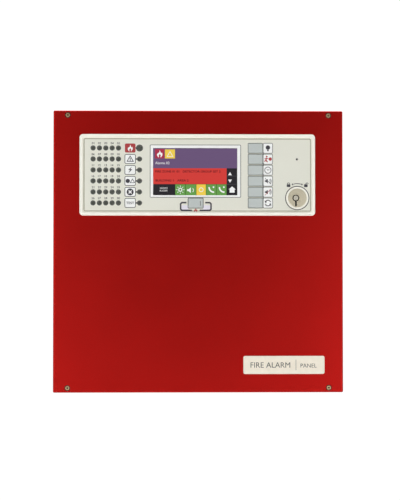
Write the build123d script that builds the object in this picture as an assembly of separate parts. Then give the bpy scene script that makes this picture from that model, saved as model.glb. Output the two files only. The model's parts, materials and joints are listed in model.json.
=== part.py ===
"""A wall-mounted fire alarm control panel: a folded steel back box holding the main board, power supply
and two standby batteries, and a pull-off steel cover carrying the operator's console.

The frame: X runs to the viewer's right, Z up, and Y into the wall. The origin is the centre of the back
face, so the front looks along -Y. Every depth below is measured from the wall towards the viewer, so a
point at depth d lies at y = -d. Sizes are in millimetres.
"""
from build123d import *
from math import pi, radians, tan
import os

# ------------------------------------------------------------------ driving dimensions
COVER_W = 330.0
COVER_H = 321.0
COVER_D = 80.0
SHEET = 1.2
FOLD_RADIUS = 1.6
SKIRT = 20.0
COVER_GAP = 0.4

BOX_W = COVER_W - 2 * (SHEET + COVER_GAP)
BOX_H = COVER_H - 2 * (SHEET + COVER_GAP)
BOX_D = COVER_D - SHEET - 0.1
BOX_TOP = BOX_H / 2
FLANGE = 14.0

COVER_SCREW_X = 148.6
COVER_SCREW_Z = 155.2
COVER_SCREW_R = 1.5
COVER_SCREW_HEAD_R = 2.75
COVER_SCREW_HOLE_R = 1.7
SINK_R = 3.3
NAMEPLATE_W = 92.4
NAMEPLATE_H = 20.5
NAMEPLATE_X = 97.4
NAMEPLATE_Z = -129.2

WALL_HOLE_R = 2.75
WALL_HOLE_X = 140.0
WALL_HOLE_Z = (146.0, -46.0)
CABLE_SLOT_W = 92.0
CABLE_SLOT_H = 16.0
CABLE_SLOT_Z = 146.0
ENTRY_R = 10.2
ENTRY_PITCH = 48.0
ENTRY_DEPTH = 32.0
PLUG_DEPTH = 4.4

CONSOLE_X = -1.0
CONSOLE_Z = 86.9
BEZEL_W = 268.0
BEZEL_H = 92.7
BEZEL_PROUD = 4.0
BEZEL_CORNER = 4.0
RIM = 3.3
RIM_SLOPE = 1.3
FLOOR_FRONT = COVER_D + 2.2
FOIL = 0.3
FOIL_FRONT = FLOOR_FRONT + FOIL
APERTURE_W = 261.0
APERTURE_H = 86.0
BEZEL_SKIRT_W = 260.0
BEZEL_SKIRT_H = 85.0
FLOOR_W = BEZEL_W - 2 * (RIM + RIM_SLOPE)
FLOOR_H = BEZEL_H - 2 * (RIM + RIM_SLOPE)
BOSS_Z = 35.9
BOSS_R = 2.6

LED_COLUMNS = 5
LED_ROWS = 6
LED_PITCH_X = 7.2
LED_PITCH_Z = 12.5
LED_LEFT = -118.6
LED_TOP = 30.5
LENS_R = 1.9
STATUS_X = -65.9
FIRE_LENS_R = 2.8
LENS_HOLE_GAP = 0.15

SCREEN_X = -2.6
SCREEN_Z = 3.7
SCREEN_W = 95.8
SCREEN_H = 53.7
GLASS_W = 103.6
GLASS_H = 57.4

KEY_W = 16.3
KEY_H = 10.6
KEY_X = 66.0
KEY_PROUD = 0.9
KEY_TRAVEL = 0.5
KEY_GAP = 0.25
ALARM_KEY_X = -2.1
ALARM_KEY_Z = -32.1

LOCK_X = 113.6
LOCK_Z = -26.2
PLUG_SHIFT = -1.6
PLUG_R = 5.4
BARREL_R = 9.4
BARREL_HEAD_R = 10.6
COLLAR_R = 12.7
BARREL_BACK = 66.0
SWITCH_BACK = 50.0
KEYWAY = 2.0
PLUG_GROOVE_R = 3.9
PLUG_PIN_R = 2.7
SOUND_HOLE_R = 0.9
SPEAKER_X = 113.3
SPEAKER_Z = 18.0

CONSOLE_BOARD_W = 252.0
CONSOLE_BOARD_H = 77.0
BOARD = 1.6
CONSOLE_BOARD_FRONT = 72.8
CONSOLE_BOARD_BACK = CONSOLE_BOARD_FRONT - BOARD
RETAINER_BACK = CONSOLE_BOARD_BACK - 1.0
STEM_END = 74.4

BATTERY_W = 151.0
BATTERY_D = 65.0
BATTERY_H = 94.0
BATTERY_LID_H = 16.0
BATTERY_GAP = 4.0
SEAM_GAP = 0.6
BATTERY_BACK = 2.0
TAB_INSET = 12.0
TAB_W = 6.3
TAB_H = 7.5
TAB_DEPTH = 58.0
CRIMP_TOP = 18.0
LEAD_R = 1.25
SMALL_LEAD_R = 1.0

MAIN_LEFT = -156.0
MAIN_RIGHT = 52.0
MAIN_BOTTOM = -34.0
MAIN_TOP = 130.0
MAIN_BACK = 11.2
MAIN_FRONT = MAIN_BACK + BOARD
TERMINAL_W = 20.4
TERMINAL_H = 13.0
TERMINAL_D = 14.2
TERMINAL_LEFT = -134.0
TERMINAL_PITCH = 23.5
POLE_PITCH = 5.0

SUPPLY_X = 110.0
SUPPLY_Z = 77.0
SUPPLY_W = 96.0
SUPPLY_H = 98.0
SUPPLY_D = 36.0
SUPPLY_SHEET = 1.0
SUPPLY_FRONT = SHEET + SUPPLY_D
SUPPLY_BOARD_BACK = SHEET + SUPPLY_SHEET + 4.0
SUPPLY_BOARD_FRONT = SUPPLY_BOARD_BACK + BOARD
SUPPLY_POLE_PITCH = 9.6
MAINS_X = SUPPLY_X + 1.5 * SUPPLY_POLE_PITCH
MAINS_Z = -10.0
MOUTH_W = 3.8
INLET_X = 26.0
INLET_Z = -8.0
EARTH_X = 153.0
EARTH_Z = -22.0

RIBBON_X = -20.0
RIBBON_W = 25.4
RIBBON_T = 0.9
MAIN_HEADER_Z = 40.0
CONSOLE_HEADER_Z = 88.0
RIBBON_BEND = 10.0
MAIN_CABLE_D = 25.5
CONSOLE_CABLE_D = 56.0


# ------------------------------------------------------------------ shapes that repeat
def slab(width, height, near, far, x=0.0, z=0.0, corner=0.0, taper=0.0):
    """A plate parallel to the wall, from depth near to depth far, centred on x, z."""
    outline = RectangleRounded(width, height, corner) if corner else Rectangle(width, height)
    return extrude(Plane.XZ.offset(near) * Pos(x, z) * outline, amount=far - near, taper=taper)


def rod(radius, near, far, x=0.0, z=0.0):
    """A round bar square to the wall, from depth near to depth far."""
    return extrude(Plane.XZ.offset(near) * Pos(x, z) * Circle(radius), amount=far - near)


def cone(near_radius, far_radius, near, far, x=0.0, z=0.0):
    """A cone square to the wall, near_radius at depth near and far_radius at depth far."""
    ends = [
        Plane.XZ.offset(near) * Pos(x, z) * Circle(near_radius),
        Plane.XZ.offset(far) * Pos(x, z) * Circle(far_radius),
    ]
    return loft(ends)


def upright(radius, bottom, top, x=0.0, depth=0.0):
    """A vertical round bar at depth, from height bottom to height top."""
    return extrude(Plane.XY.offset(bottom) * Pos(x, -depth) * Circle(radius), amount=top - bottom)


def at_depth(solid, depth):
    """The edges of a solid whose centre lies at that depth."""
    return [edge for edge in solid.edges() if abs(edge.center().Y + depth) < 1e-4]


def hexagon_bar(flat_radius, near, far, x, z):
    """A six-sided bar square to the wall; flat_radius is half its width across flats."""
    outline = RegularPolygon(flat_radius, 6, major_radius=False)
    return extrude(Plane.XZ.offset(near) * Pos(x, z) * outline, amount=far - near)


def folded_block(width, height, closed, opened, radius):
    """A block whose closed face and four corners are rounded like folded sheet."""
    block = slab(width, height, min(closed, opened), max(closed, opened))
    corners = list(block.edges().filter_by(Axis.Y))
    return fillet(corners + at_depth(block, closed), radius)


def tray(width, height, closed, opened):
    """A five-sided tray of folded sheet, closed at one depth and open at the other."""
    step = 1.0 if opened > closed else -1.0
    outside = folded_block(width, height, closed, opened, FOLD_RADIUS)
    inside = folded_block(
        width - 2 * SHEET, height - 2 * SHEET, closed + step * SHEET, opened + step, FOLD_RADIUS - SHEET
    )
    return outside - inside


def console(x, z):
    """A point given from the console's centre, in the panel's own x and z."""
    return CONSOLE_X + x, CONSOLE_Z + z


def led_places():
    """The thirty zone lamps, row by row from the top left."""
    return [
        console(LED_LEFT + column * LED_PITCH_X, LED_TOP - row * LED_PITCH_Z)
        for row in range(LED_ROWS)
        for column in range(LED_COLUMNS)
    ]


def row_places(x):
    """The six places in line with the lamp rows, from the top."""
    return [console(x, LED_TOP - row * LED_PITCH_Z) for row in range(LED_ROWS)]


def cover_screw_places():
    return [(sx * COVER_SCREW_X, sz * COVER_SCREW_Z) for sz in (1, -1) for sx in (-1, 1)]


def tube(name, radius, points):
    """A wire through the points: straight runs joined by arcs as large as the shorter run allows."""
    corners = [Vector(x, -depth, z) for x, depth, z in points]
    bends = []
    for before, here, after in zip(corners, corners[1:], corners[2:]):
        turn = (here - before).get_angle(after - here)
        shorter = min((here - before).length, (after - here).length)
        bends.append(0.45 * shorter / tan(radians(turn) / 2))
    route = FilletPolyline(*corners, radius=bends)
    wire = sweep(Plane(origin=route @ 0, z_dir=route % 0) * Circle(radius), path=route)
    fill = wire.volume / (pi * radius**2 * route.length)
    rounded = [round(bend, 1) for bend in bends]
    print(name, "length", round(route.length, 1), "bends", rounded, "fill", round(fill, 3))
    return wire


def save(name, *solids):
    """Writes one node: one STEP file holding one or more separate solids."""
    shape = solids[0] if len(solids) == 1 else Compound(children=list(solids))
    shape.label = name
    export_step(shape, f"parts/{name}.step")


def pan_screw(head_radius, shank_radius, head_back, head_front, tip, x, z):
    """A screw square to the wall with a cross recess; its head lies between two depths."""
    head = rod(head_radius, min(head_back, head_front), max(head_back, head_front), x, z)
    outer = head_front
    inner = head_back
    shank = rod(shank_radius, min(inner, tip), max(inner, tip), x, z)
    sink = outer + (inner - outer) * 0.55
    near, far = min(outer, sink), max(outer, sink)
    arm = head_radius * 1.1
    blade = head_radius * 0.26
    cross = slab(arm, blade, near, far, x, z) + slab(blade, arm, near, far, x, z)
    return head + shank - cross


# ------------------------------------------------------------------ the steel cabinet
def make_back_box():
    """The wall box: folded tray, two front flanges, wall holes, rear cable slot and five cable entries."""
    box = tray(BOX_W, BOX_H, 0, BOX_D)
    lip_w = BOX_W - 8
    for side in (1, -1):
        box += slab(lip_w, FLANGE, BOX_D - SHEET, BOX_D, 0, side * (BOX_TOP - FLANGE / 2))
    cuts = [rod(COVER_SCREW_HOLE_R, BOX_D - 2, BOX_D + 1, x, z) for x, z in cover_screw_places()]
    cuts += [rod(WALL_HOLE_R, -1, 3, sx * WALL_HOLE_X, z) for sx in (-1, 1) for z in WALL_HOLE_Z]
    cuts.append(slab(CABLE_SLOT_W, CABLE_SLOT_H, -1, 3, 0, CABLE_SLOT_Z, corner=4))
    cuts += [upright(ENTRY_R, BOX_TOP - 3, BOX_TOP + 1, x, ENTRY_DEPTH) for x in entry_places()]
    save("back_box", box - cuts)


def entry_places():
    return [(index - 2) * ENTRY_PITCH for index in range(5)]


def make_cable_entry_plugs():
    """Snap-in blanking plugs: a thin outside flange and a shallow hollow body through the sheet."""
    plugs = []
    for x in entry_places():
        flange = upright(ENTRY_R + 2.0, BOX_TOP, BOX_TOP + 1.2, x, ENTRY_DEPTH)
        body = upright(ENTRY_R - 0.15, BOX_TOP - PLUG_DEPTH, BOX_TOP, x, ENTRY_DEPTH)
        hollow = upright(ENTRY_R - 1.8, BOX_TOP - PLUG_DEPTH - 1, BOX_TOP - 0.8, x, ENTRY_DEPTH)
        plugs.append(flange + body - hollow)
    save("cable_entry_plugs", *plugs)


def make_front_cover():
    """The pull-off cover: a shallow folded tray with the console cut-out and four screw sinks."""
    shell = tray(COVER_W, COVER_H, COVER_D, COVER_D - SKIRT)
    cuts = [slab(APERTURE_W, APERTURE_H, COVER_D - 2, COVER_D + 1, CONSOLE_X, CONSOLE_Z, corner=2)]
    for x, z in cover_screw_places():
        cuts.append(cone(2.0, SINK_R, COVER_D - SHEET - 0.01, COVER_D + 0.01, x, z))
    save("front_cover", shell - cuts)


def make_cover_screws():
    """Captive countersunk screws with a socket in the head and a retaining ring behind the sheet."""
    screws = []
    for x, z in cover_screw_places():
        top = COVER_D - 0.35
        neck = COVER_D - SHEET + 0.05
        head = cone(COVER_SCREW_R, COVER_SCREW_HEAD_R - 0.35, neck, top, x, z)
        shank = rod(COVER_SCREW_R, COVER_D - 12, neck, x, z)
        socket = rod(1.0, top - 0.9, top + 0.1, x, z)
        screws.append(head + shank - socket)
    save("cover_screws", *screws)


def make_nameplate():
    plate = slab(NAMEPLATE_W, NAMEPLATE_H, COVER_D, COVER_D + 1.2, NAMEPLATE_X, NAMEPLATE_Z, corner=2)
    save("nameplate", chamfer(at_depth(plate, COVER_D + 1.2), 0.3))


# ------------------------------------------------------------------ the console on the cover
def boss_places():
    top = [console(x, BOSS_Z) for x in (-122, -76, -20, 50, 94, 122)]
    bottom = [console(x, -BOSS_Z) for x in (-122, -76, -40, 40, 94)]
    return top + bottom


def key_places():
    return row_places(KEY_X) + [console(ALARM_KEY_X, ALARM_KEY_Z)]


def console_openings(near, far, screen_w, screen_h, lock_radius):
    """The cutters for lamps, keys, screen, lock and sounder through one layer of the console."""
    cuts = [rod(LENS_R + LENS_HOLE_GAP, near, far, x, z) for x, z in led_places() + row_places(STATUS_X)[1:]]
    cuts.append(rod(FIRE_LENS_R + LENS_HOLE_GAP, near, far, *row_places(STATUS_X)[0]))
    for x, z in key_places():
        cuts.append(slab(KEY_W + 2 * KEY_GAP, KEY_H + 2 * KEY_GAP, near, far, x, z, corner=1.0))
    cuts.append(slab(screen_w, screen_h, near, far, *console(SCREEN_X, SCREEN_Z)))
    cuts.append(rod(lock_radius, near, far, *console(LOCK_X, LOCK_Z)))
    cuts.append(rod(SOUND_HOLE_R, near, far, *console(SPEAKER_X, SPEAKER_Z)))
    return cuts


def make_bezel():
    """The moulded console frame: raised rim, sloped inner wall, floor, rear skirt and screw bosses."""
    proud = COVER_D + BEZEL_PROUD
    frame = slab(BEZEL_W, BEZEL_H, COVER_D, proud, CONSOLE_X, CONSOLE_Z, corner=BEZEL_CORNER)
    frame = fillet(at_depth(frame, proud), 1.2)
    mouth_w = BEZEL_W - 2 * RIM
    mouth_h = BEZEL_H - 2 * RIM
    middle = Pos(CONSOLE_X, CONSOLE_Z)
    floor = Plane.XZ.offset(FLOOR_FRONT) * middle * RectangleRounded(FLOOR_W, FLOOR_H, 1.2)
    mouth = Plane.XZ.offset(proud) * middle * RectangleRounded(mouth_w, mouth_h, 2.0)
    frame -= loft([floor, mouth])
    skirt = slab(BEZEL_SKIRT_W, BEZEL_SKIRT_H, COVER_D - 4, COVER_D, CONSOLE_X, CONSOLE_Z, corner=2)
    skirt -= slab(BEZEL_SKIRT_W - 4, BEZEL_SKIRT_H - 4, COVER_D - 5, COVER_D, CONSOLE_X, CONSOLE_Z, corner=1)
    frame += skirt
    for x, z in boss_places():
        frame += rod(BOSS_R, CONSOLE_BOARD_FRONT, COVER_D, x, z)
    frame += rod(COLLAR_R, FLOOR_FRONT, FLOOR_FRONT + 1.2, *console(LOCK_X, LOCK_Z))
    frame -= rod(BARREL_HEAD_R + 0.1, FLOOR_FRONT, proud, *console(LOCK_X, LOCK_Z))
    frame -= [rod(1.25, CONSOLE_BOARD_FRONT - 1, COVER_D + 0.8, x, z) for x, z in boss_places()]
    frame -= console_openings(COVER_D - 1, proud, GLASS_W + 0.6, GLASS_H + 0.6, BARREL_R + 0.1)
    save("bezel", frame)


def make_overlay_foil():
    """The printed front foil, cut out for the keys, lamps, screen, lock and sounder hole."""
    foil = slab(FLOOR_W - 0.6, FLOOR_H - 0.6, FLOOR_FRONT, FOIL_FRONT, CONSOLE_X, CONSOLE_Z, corner=1.0)
    foil -= console_openings(FLOOR_FRONT - 1, FOIL_FRONT + 1, SCREEN_W, SCREEN_H, COLLAR_R + 0.1)
    save("overlay_foil", foil)


def make_display():
    """The touch screen: a glass pane behind the foil window, in a metal-framed module on the board."""
    place = console(SCREEN_X, SCREEN_Z)
    save("display_glass", slab(GLASS_W, GLASS_H, COVER_D, FLOOR_FRONT - 0.05, *place))
    module = slab(105.4, 58.6, COVER_D - 3.2, COVER_D, *place)
    feet = [slab(6, 6, CONSOLE_BOARD_FRONT, COVER_D - 3.2, place[0] + sx * 49, place[1] + sz * 25)
            for sx in (-1, 1) for sz in (-1, 1)]
    save("display_frame", module + feet)


def make_console_board():
    back, front = CONSOLE_BOARD_BACK, CONSOLE_BOARD_FRONT
    board = slab(CONSOLE_BOARD_W, CONSOLE_BOARD_H, back, front, CONSOLE_X, CONSOLE_Z)
    holes = [rod(1.4, back - 1, front + 1, x, z) for x, z in boss_places()]
    holes.append(rod(BARREL_R + 1, back - 1, front + 1, *console(LOCK_X, LOCK_Z)))
    save("console_board", board - holes)


def make_retaining_frame():
    """The pressed frame that clamps the console to the cover: outer flange, wall and inner flange."""
    near, far = RETAINER_BACK, COVER_D - SHEET

    def ring(outer_w, outer_h, inner_w, inner_h, back, front):
        plate = slab(outer_w, outer_h, back, front, CONSOLE_X, CONSOLE_Z)
        return plate - slab(inner_w, inner_h, back - 1, front + 1, CONSOLE_X, CONSOLE_Z)

    frame = ring(282, 107, 262.4, 87.4, far - 1, far)
    frame += ring(264.4, 89.4, 262.4, 87.4, near, far)
    frame += ring(264.4, 89.4, 246, 67, near, near + 1)
    frame -= rod(BARREL_R + 1.1, near - 1, near + 2, *console(LOCK_X, LOCK_Z))
    frame -= [rod(1.4, near - 1, near + 2, x, z) for x, z in boss_places()]
    save("retaining_frame", frame)


def make_console_screws():
    screws = [
        pan_screw(2.5, 1.2, RETAINER_BACK, RETAINER_BACK - 1.8, COVER_D - 2, x, z) for x, z in boss_places()
    ]
    save("console_screws", *screws)


def lamp(radius, x, z):
    """A light guide: a straight stalk from the board with a domed front."""
    stalk = rod(radius, CONSOLE_BOARD_FRONT, FOIL_FRONT + 0.35, x, z)
    return fillet(at_depth(stalk, FOIL_FRONT + 0.35), 0.6)


def make_lamps():
    save("zone_led_lenses", *[lamp(LENS_R, x, z) for x, z in led_places()])
    first, *others = row_places(STATUS_X)
    save("status_led_lenses", lamp(FIRE_LENS_R, *first), *[lamp(LENS_R, x, z) for x, z in others])


def make_keys():
    """Seven push keys, each with a retaining flange behind the floor and a stem into its switch."""
    names = [f"key_{row + 1}" for row in range(LED_ROWS)] + ["alarm_key"]
    top = FOIL_FRONT + KEY_PROUD
    for name, (x, z) in zip(names, key_places()):
        cap = slab(KEY_W, KEY_H, COVER_D - 0.6, top, x, z, corner=0.8)
        cap = fillet(at_depth(cap, top), 0.35)
        flange = slab(KEY_W + 3.2, KEY_H + 0.2, COVER_D - 1.1, COVER_D - 0.1, x, z)
        stem = rod(1.6, STEM_END, COVER_D - 1.1, x, z)
        save(name, cap + flange + stem)
    switches = []
    for x, z in key_places():
        case = slab(6, 6, CONSOLE_BOARD_FRONT, CONSOLE_BOARD_FRONT + 3.5, x, z)
        switches.append(case - rod(1.8, CONSOLE_BOARD_FRONT + 0.8, COVER_D, x, z))
    save("tact_switches", *switches)


def make_buzzer():
    x, z = console(SPEAKER_X, SPEAKER_Z)
    can = rod(6, CONSOLE_BOARD_FRONT, COVER_D - 0.4, x, z)
    save("buzzer", can - rod(1.2, COVER_D - 1.6, COVER_D, x, z))


def make_lock():
    """The key switch: fixed barrel with a dished face, turning plug, nut and rear contact block."""
    x, z = console(LOCK_X, LOCK_Z)
    plug_x = x + PLUG_SHIFT
    head_front = FLOOR_FRONT + 1.6
    head = fillet(at_depth(rod(BARREL_HEAD_R, FLOOR_FRONT, head_front, x, z), head_front), 0.4)
    barrel = head + rod(BARREL_R, BARREL_BACK, FLOOR_FRONT, x, z)
    barrel -= rod(PLUG_R + 0.08, BARREL_BACK - 1, head_front + 1, plug_x, z)
    barrel -= slab(KEYWAY, 7.0, head_front - 4, head_front + 1, plug_x, z - 6.0)
    save("lock_barrel", barrel)

    face = head_front - 0.9
    plug = rod(PLUG_R, BARREL_BACK + 1, face, plug_x, z)
    plug -= rod(PLUG_GROOVE_R, face - 8, face + 1, plug_x, z) - rod(PLUG_PIN_R, face - 8, face + 1, plug_x, z)
    plug -= slab(KEYWAY, PLUG_R, face - 8, face + 1, plug_x, z - PLUG_PIN_R - PLUG_R / 2)
    tail = rod(3.4, SWITCH_BACK + 8, BARREL_BACK + 1, plug_x, z)
    tail -= slab(8, 2, SWITCH_BACK + 7, BARREL_BACK, plug_x, z + 3.6)
    save("lock_plug", plug + tail)

    nut = hexagon_bar(11.5, COVER_D - 3.5, COVER_D, x, z)
    save("lock_nut", nut - rod(BARREL_R + 0.05, COVER_D - 4, COVER_D + 1, x, z))

    block = rod(BARREL_R, SWITCH_BACK, BARREL_BACK - 0.1, x, z)
    block -= rod(4.0, SWITCH_BACK + 7, BARREL_BACK, plug_x, z)
    block += [slab(1.2, 4.0, SWITCH_BACK - 6, SWITCH_BACK, x + step, z) for step in (-4.5, 0, 4.5)]
    save("lock_switch", block)


def make_console_header():
    place = (RIBBON_X, CONSOLE_HEADER_Z)
    body = slab(33, 9, CONSOLE_BOARD_BACK - 9, CONSOLE_BOARD_BACK, *place)
    save("console_header", body - slab(28.8, 6.8, CONSOLE_BOARD_BACK - 10, CONSOLE_BOARD_BACK - 1.5, *place))


# ------------------------------------------------------------------ the main board
def standoff_places():
    corners = [(MAIN_LEFT + 6, MAIN_TOP - 6), (MAIN_RIGHT - 6, MAIN_TOP - 6)]
    corners += [(MAIN_LEFT + 6, MAIN_BOTTOM + 6), (MAIN_RIGHT - 6, MAIN_BOTTOM + 6)]
    return corners + [(-48, MAIN_TOP - 22), (-48, MAIN_BOTTOM + 22)]


def make_motherboard():
    """The main board on six threaded pillars, with its screws and those of the power supply."""
    pillars = []
    for x, z in standoff_places():
        pillars.append(rod(2.9, SHEET, MAIN_BACK, x, z) - rod(1.3, SHEET + 2, MAIN_BACK + 1, x, z))
    save("board_standoffs", *pillars)
    centre = ((MAIN_LEFT + MAIN_RIGHT) / 2, (MAIN_BOTTOM + MAIN_TOP) / 2)
    board = slab(MAIN_RIGHT - MAIN_LEFT, MAIN_TOP - MAIN_BOTTOM, MAIN_BACK, MAIN_FRONT, *centre, corner=2)
    board -= [rod(1.6, MAIN_BACK - 1, MAIN_FRONT + 1, x, z) for x, z in standoff_places()]
    save("motherboard", board)
    screws = []
    for x, z in standoff_places():
        screws.append(pan_screw(2.7, 1.25, MAIN_FRONT, MAIN_FRONT + 2, MAIN_BACK - 6, x, z))
    for x, z in supply_screw_places():
        screws.append(pan_screw(2.7, 1.25, SUPPLY_FRONT, SUPPLY_FRONT + 1.6, SUPPLY_FRONT - 5, x, z))
    save("inner_screws", *screws)


def terminal_block(x, z, up):
    """A four-pole screw terminal with wire mouths facing up or down."""
    block = slab(TERMINAL_W, TERMINAL_H, MAIN_FRONT, MAIN_FRONT + TERMINAL_D, x, z)
    block = chamfer(at_depth(block, MAIN_FRONT + TERMINAL_D), 0.4)
    for pole in range(4):
        px = x + (pole - 1.5) * POLE_PITCH
        mouth_z = z + up * (TERMINAL_H / 2 - 2.5)
        block -= slab(3.4, 5.2, MAIN_FRONT + 2.6, MAIN_FRONT + 6.8, px, mouth_z)
        block -= rod(2.0, MAIN_FRONT + 8.5, MAIN_FRONT + TERMINAL_D + 1, px, z)
    return block


def terminal_rows():
    """The centre and facing direction of each terminal block: eight along the top, six along the bottom."""
    columns = [TERMINAL_LEFT + index * TERMINAL_PITCH for index in range(8)]
    top = [(x, MAIN_TOP - TERMINAL_H / 2, 1) for x in columns]
    bottom = [(x, MAIN_BOTTOM + TERMINAL_H / 2, -1) for x in columns[:6]]
    return top, bottom


def make_terminals():
    top, bottom = terminal_rows()
    save("loop_terminals", *[terminal_block(*place) for place in top])
    save("output_terminals", *[terminal_block(*place) for place in bottom])
    screws = []
    for x, z, _ in top + bottom:
        for pole in range(4):
            px = x + (pole - 1.5) * POLE_PITCH
            screw = rod(1.8, MAIN_FRONT + 8.6, MAIN_FRONT + 12.4, px, z)
            screws.append(screw - slab(4, 0.6, MAIN_FRONT + 11.6, MAIN_FRONT + 13, px, z))
    save("terminal_screws", *screws)


def make_board_parts():
    """The larger components that stand on the main board."""
    face = MAIN_FRONT
    relays = [slab(19, 15.5, face, face + 15.5, -133 + index * 23.5, -8, corner=0.6) for index in range(4)]
    save("relays", *relays)
    cans = []
    large = [(34, z, 8, 25) for z in (62, 82)]
    small = [(14, z, 6.3, 20) for z in (62, 78)]
    for x, z, radius, height in large + small + [(-4, 6, 5, 12)]:
        can = rod(radius, face, face + height, x, z)
        groove = rod(radius + 1, face + 2, face + 2.8, x, z) - rod(radius - 0.5, face + 2, face + 2.8, x, z)
        cans.append(fillet(at_depth(can, face + height), 0.8) - groove)
    save("filter_capacitors", *cans)
    chips = [slab(24, 24, face + 0.2, face + 2.6, -98, 66)]
    chips += [slab(14, 22, face + 0.2, face + 1.8, x, z) for x, z in ((-128, 62), (-128, 92), (-68, 88))]
    chips += [slab(10.5, 7.5, face + 0.2, face + 2.6, -134 + index * 23.5, 107) for index in range(3)]
    chips += [slab(7.5, 10.5, face + 0.2, face + 2.6, -122 + index * 23.5, 20) for index in range(4)]
    save("processor_chips", *chips)
    core = rod(9, face + 1, face + 11, 36, 36) - rod(4, face, face + 12, 36, 36)
    feet = slab(16, 16, face, face + 1, 36, 36)
    save("power_inductor", core + feet)
    sink = slab(34, 22, face, face + 3, -76, 40)
    sink += [slab(1.2, 22, face + 3, face + 16, -76 + (index - 4) * 4, 40) for index in range(9)]
    save("heat_sink", sink)
    jack = slab(16, 21, face, face + 13.5, -140, 36)
    save("network_socket", jack - slab(11.7, 12, face + 2.5, face + 10, -140, 29))
    holder = slab(26, 9, face, face + 3, 8, 104)
    clips = [slab(5, 7.4, face + 3, face + 9, 8 + side * 8.4, 104) for side in (-1, 1)]
    save("board_fuse", holder + clips, fuse_link(8, 104, face + 6.8))


def fuse_link(x, z, depth):
    """A 5 x 20 glass cartridge fuse lying along x."""
    return Pos(x, -depth, z) * Rot(0, 90, 0) * Cylinder(2.6, 20)


def make_ribbon():
    """The flat cable from the main board to the console, with a header and a plug at each end."""
    face = MAIN_FRONT
    header = slab(33, 9, face, face + 9, RIBBON_X, MAIN_HEADER_Z)
    save("ribbon_header", header - slab(28.8, 6.8, face + 1.5, face + 10, RIBBON_X, MAIN_HEADER_Z))
    low, high = MAIN_CABLE_D, CONSOLE_CABLE_D
    route = FilletPolyline(
        (0, -low, MAIN_HEADER_Z - 3),
        (0, -low, MAIN_HEADER_Z + 18),
        (0, -high, CONSOLE_HEADER_Z - 20),
        (0, -high, CONSOLE_HEADER_Z + 3),
        radius=RIBBON_BEND,
    )
    section = Plane(origin=route @ 0, x_dir=(1, 0, 0), z_dir=route % 0) * Rectangle(RIBBON_W, RIBBON_T)
    cable = Pos(RIBBON_X, 0, 0) * sweep(section, path=route)
    print("ribbon_cable length", round(route.length, 1), "bend", RIBBON_BEND)
    save("ribbon_cable", cable)
    lower = ribbon_plug(face + 2.0, low, MAIN_HEADER_Z)
    upper = ribbon_plug(CONSOLE_BOARD_BACK - 2.0, high, CONSOLE_HEADER_Z)
    save("ribbon_plugs", lower, upper)


def ribbon_plug(tip, cable, z):
    """A plug from its tip to the cable's depth, with a clamp bar and two hooks beyond the cable."""
    side = 1 if cable > tip else -1
    near_face = cable - side * (RIBBON_T / 2 + 0.02)
    far_face = cable + side * (RIBBON_T / 2 + 0.02)
    bar_end = far_face + side * 2
    plug = slab(28.2, 6.2, min(tip, near_face), max(tip, near_face), RIBBON_X, z)
    plug += slab(30, 6.2, min(far_face, bar_end), max(far_face, bar_end), RIBBON_X, z)
    hook_start = near_face - side * 2
    for end in (-1, 1):
        plug += slab(1.6, 6.2, min(hook_start, bar_end), max(hook_start, bar_end), RIBBON_X + end * 14.2, z)
    return plug


# ------------------------------------------------------------------ the power supply and mains entry
def supply_screw_places():
    return [(SUPPLY_X + sx * 40, SUPPLY_Z + sz * 43) for sx in (-1, 1) for sz in (-1, 1)]


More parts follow.
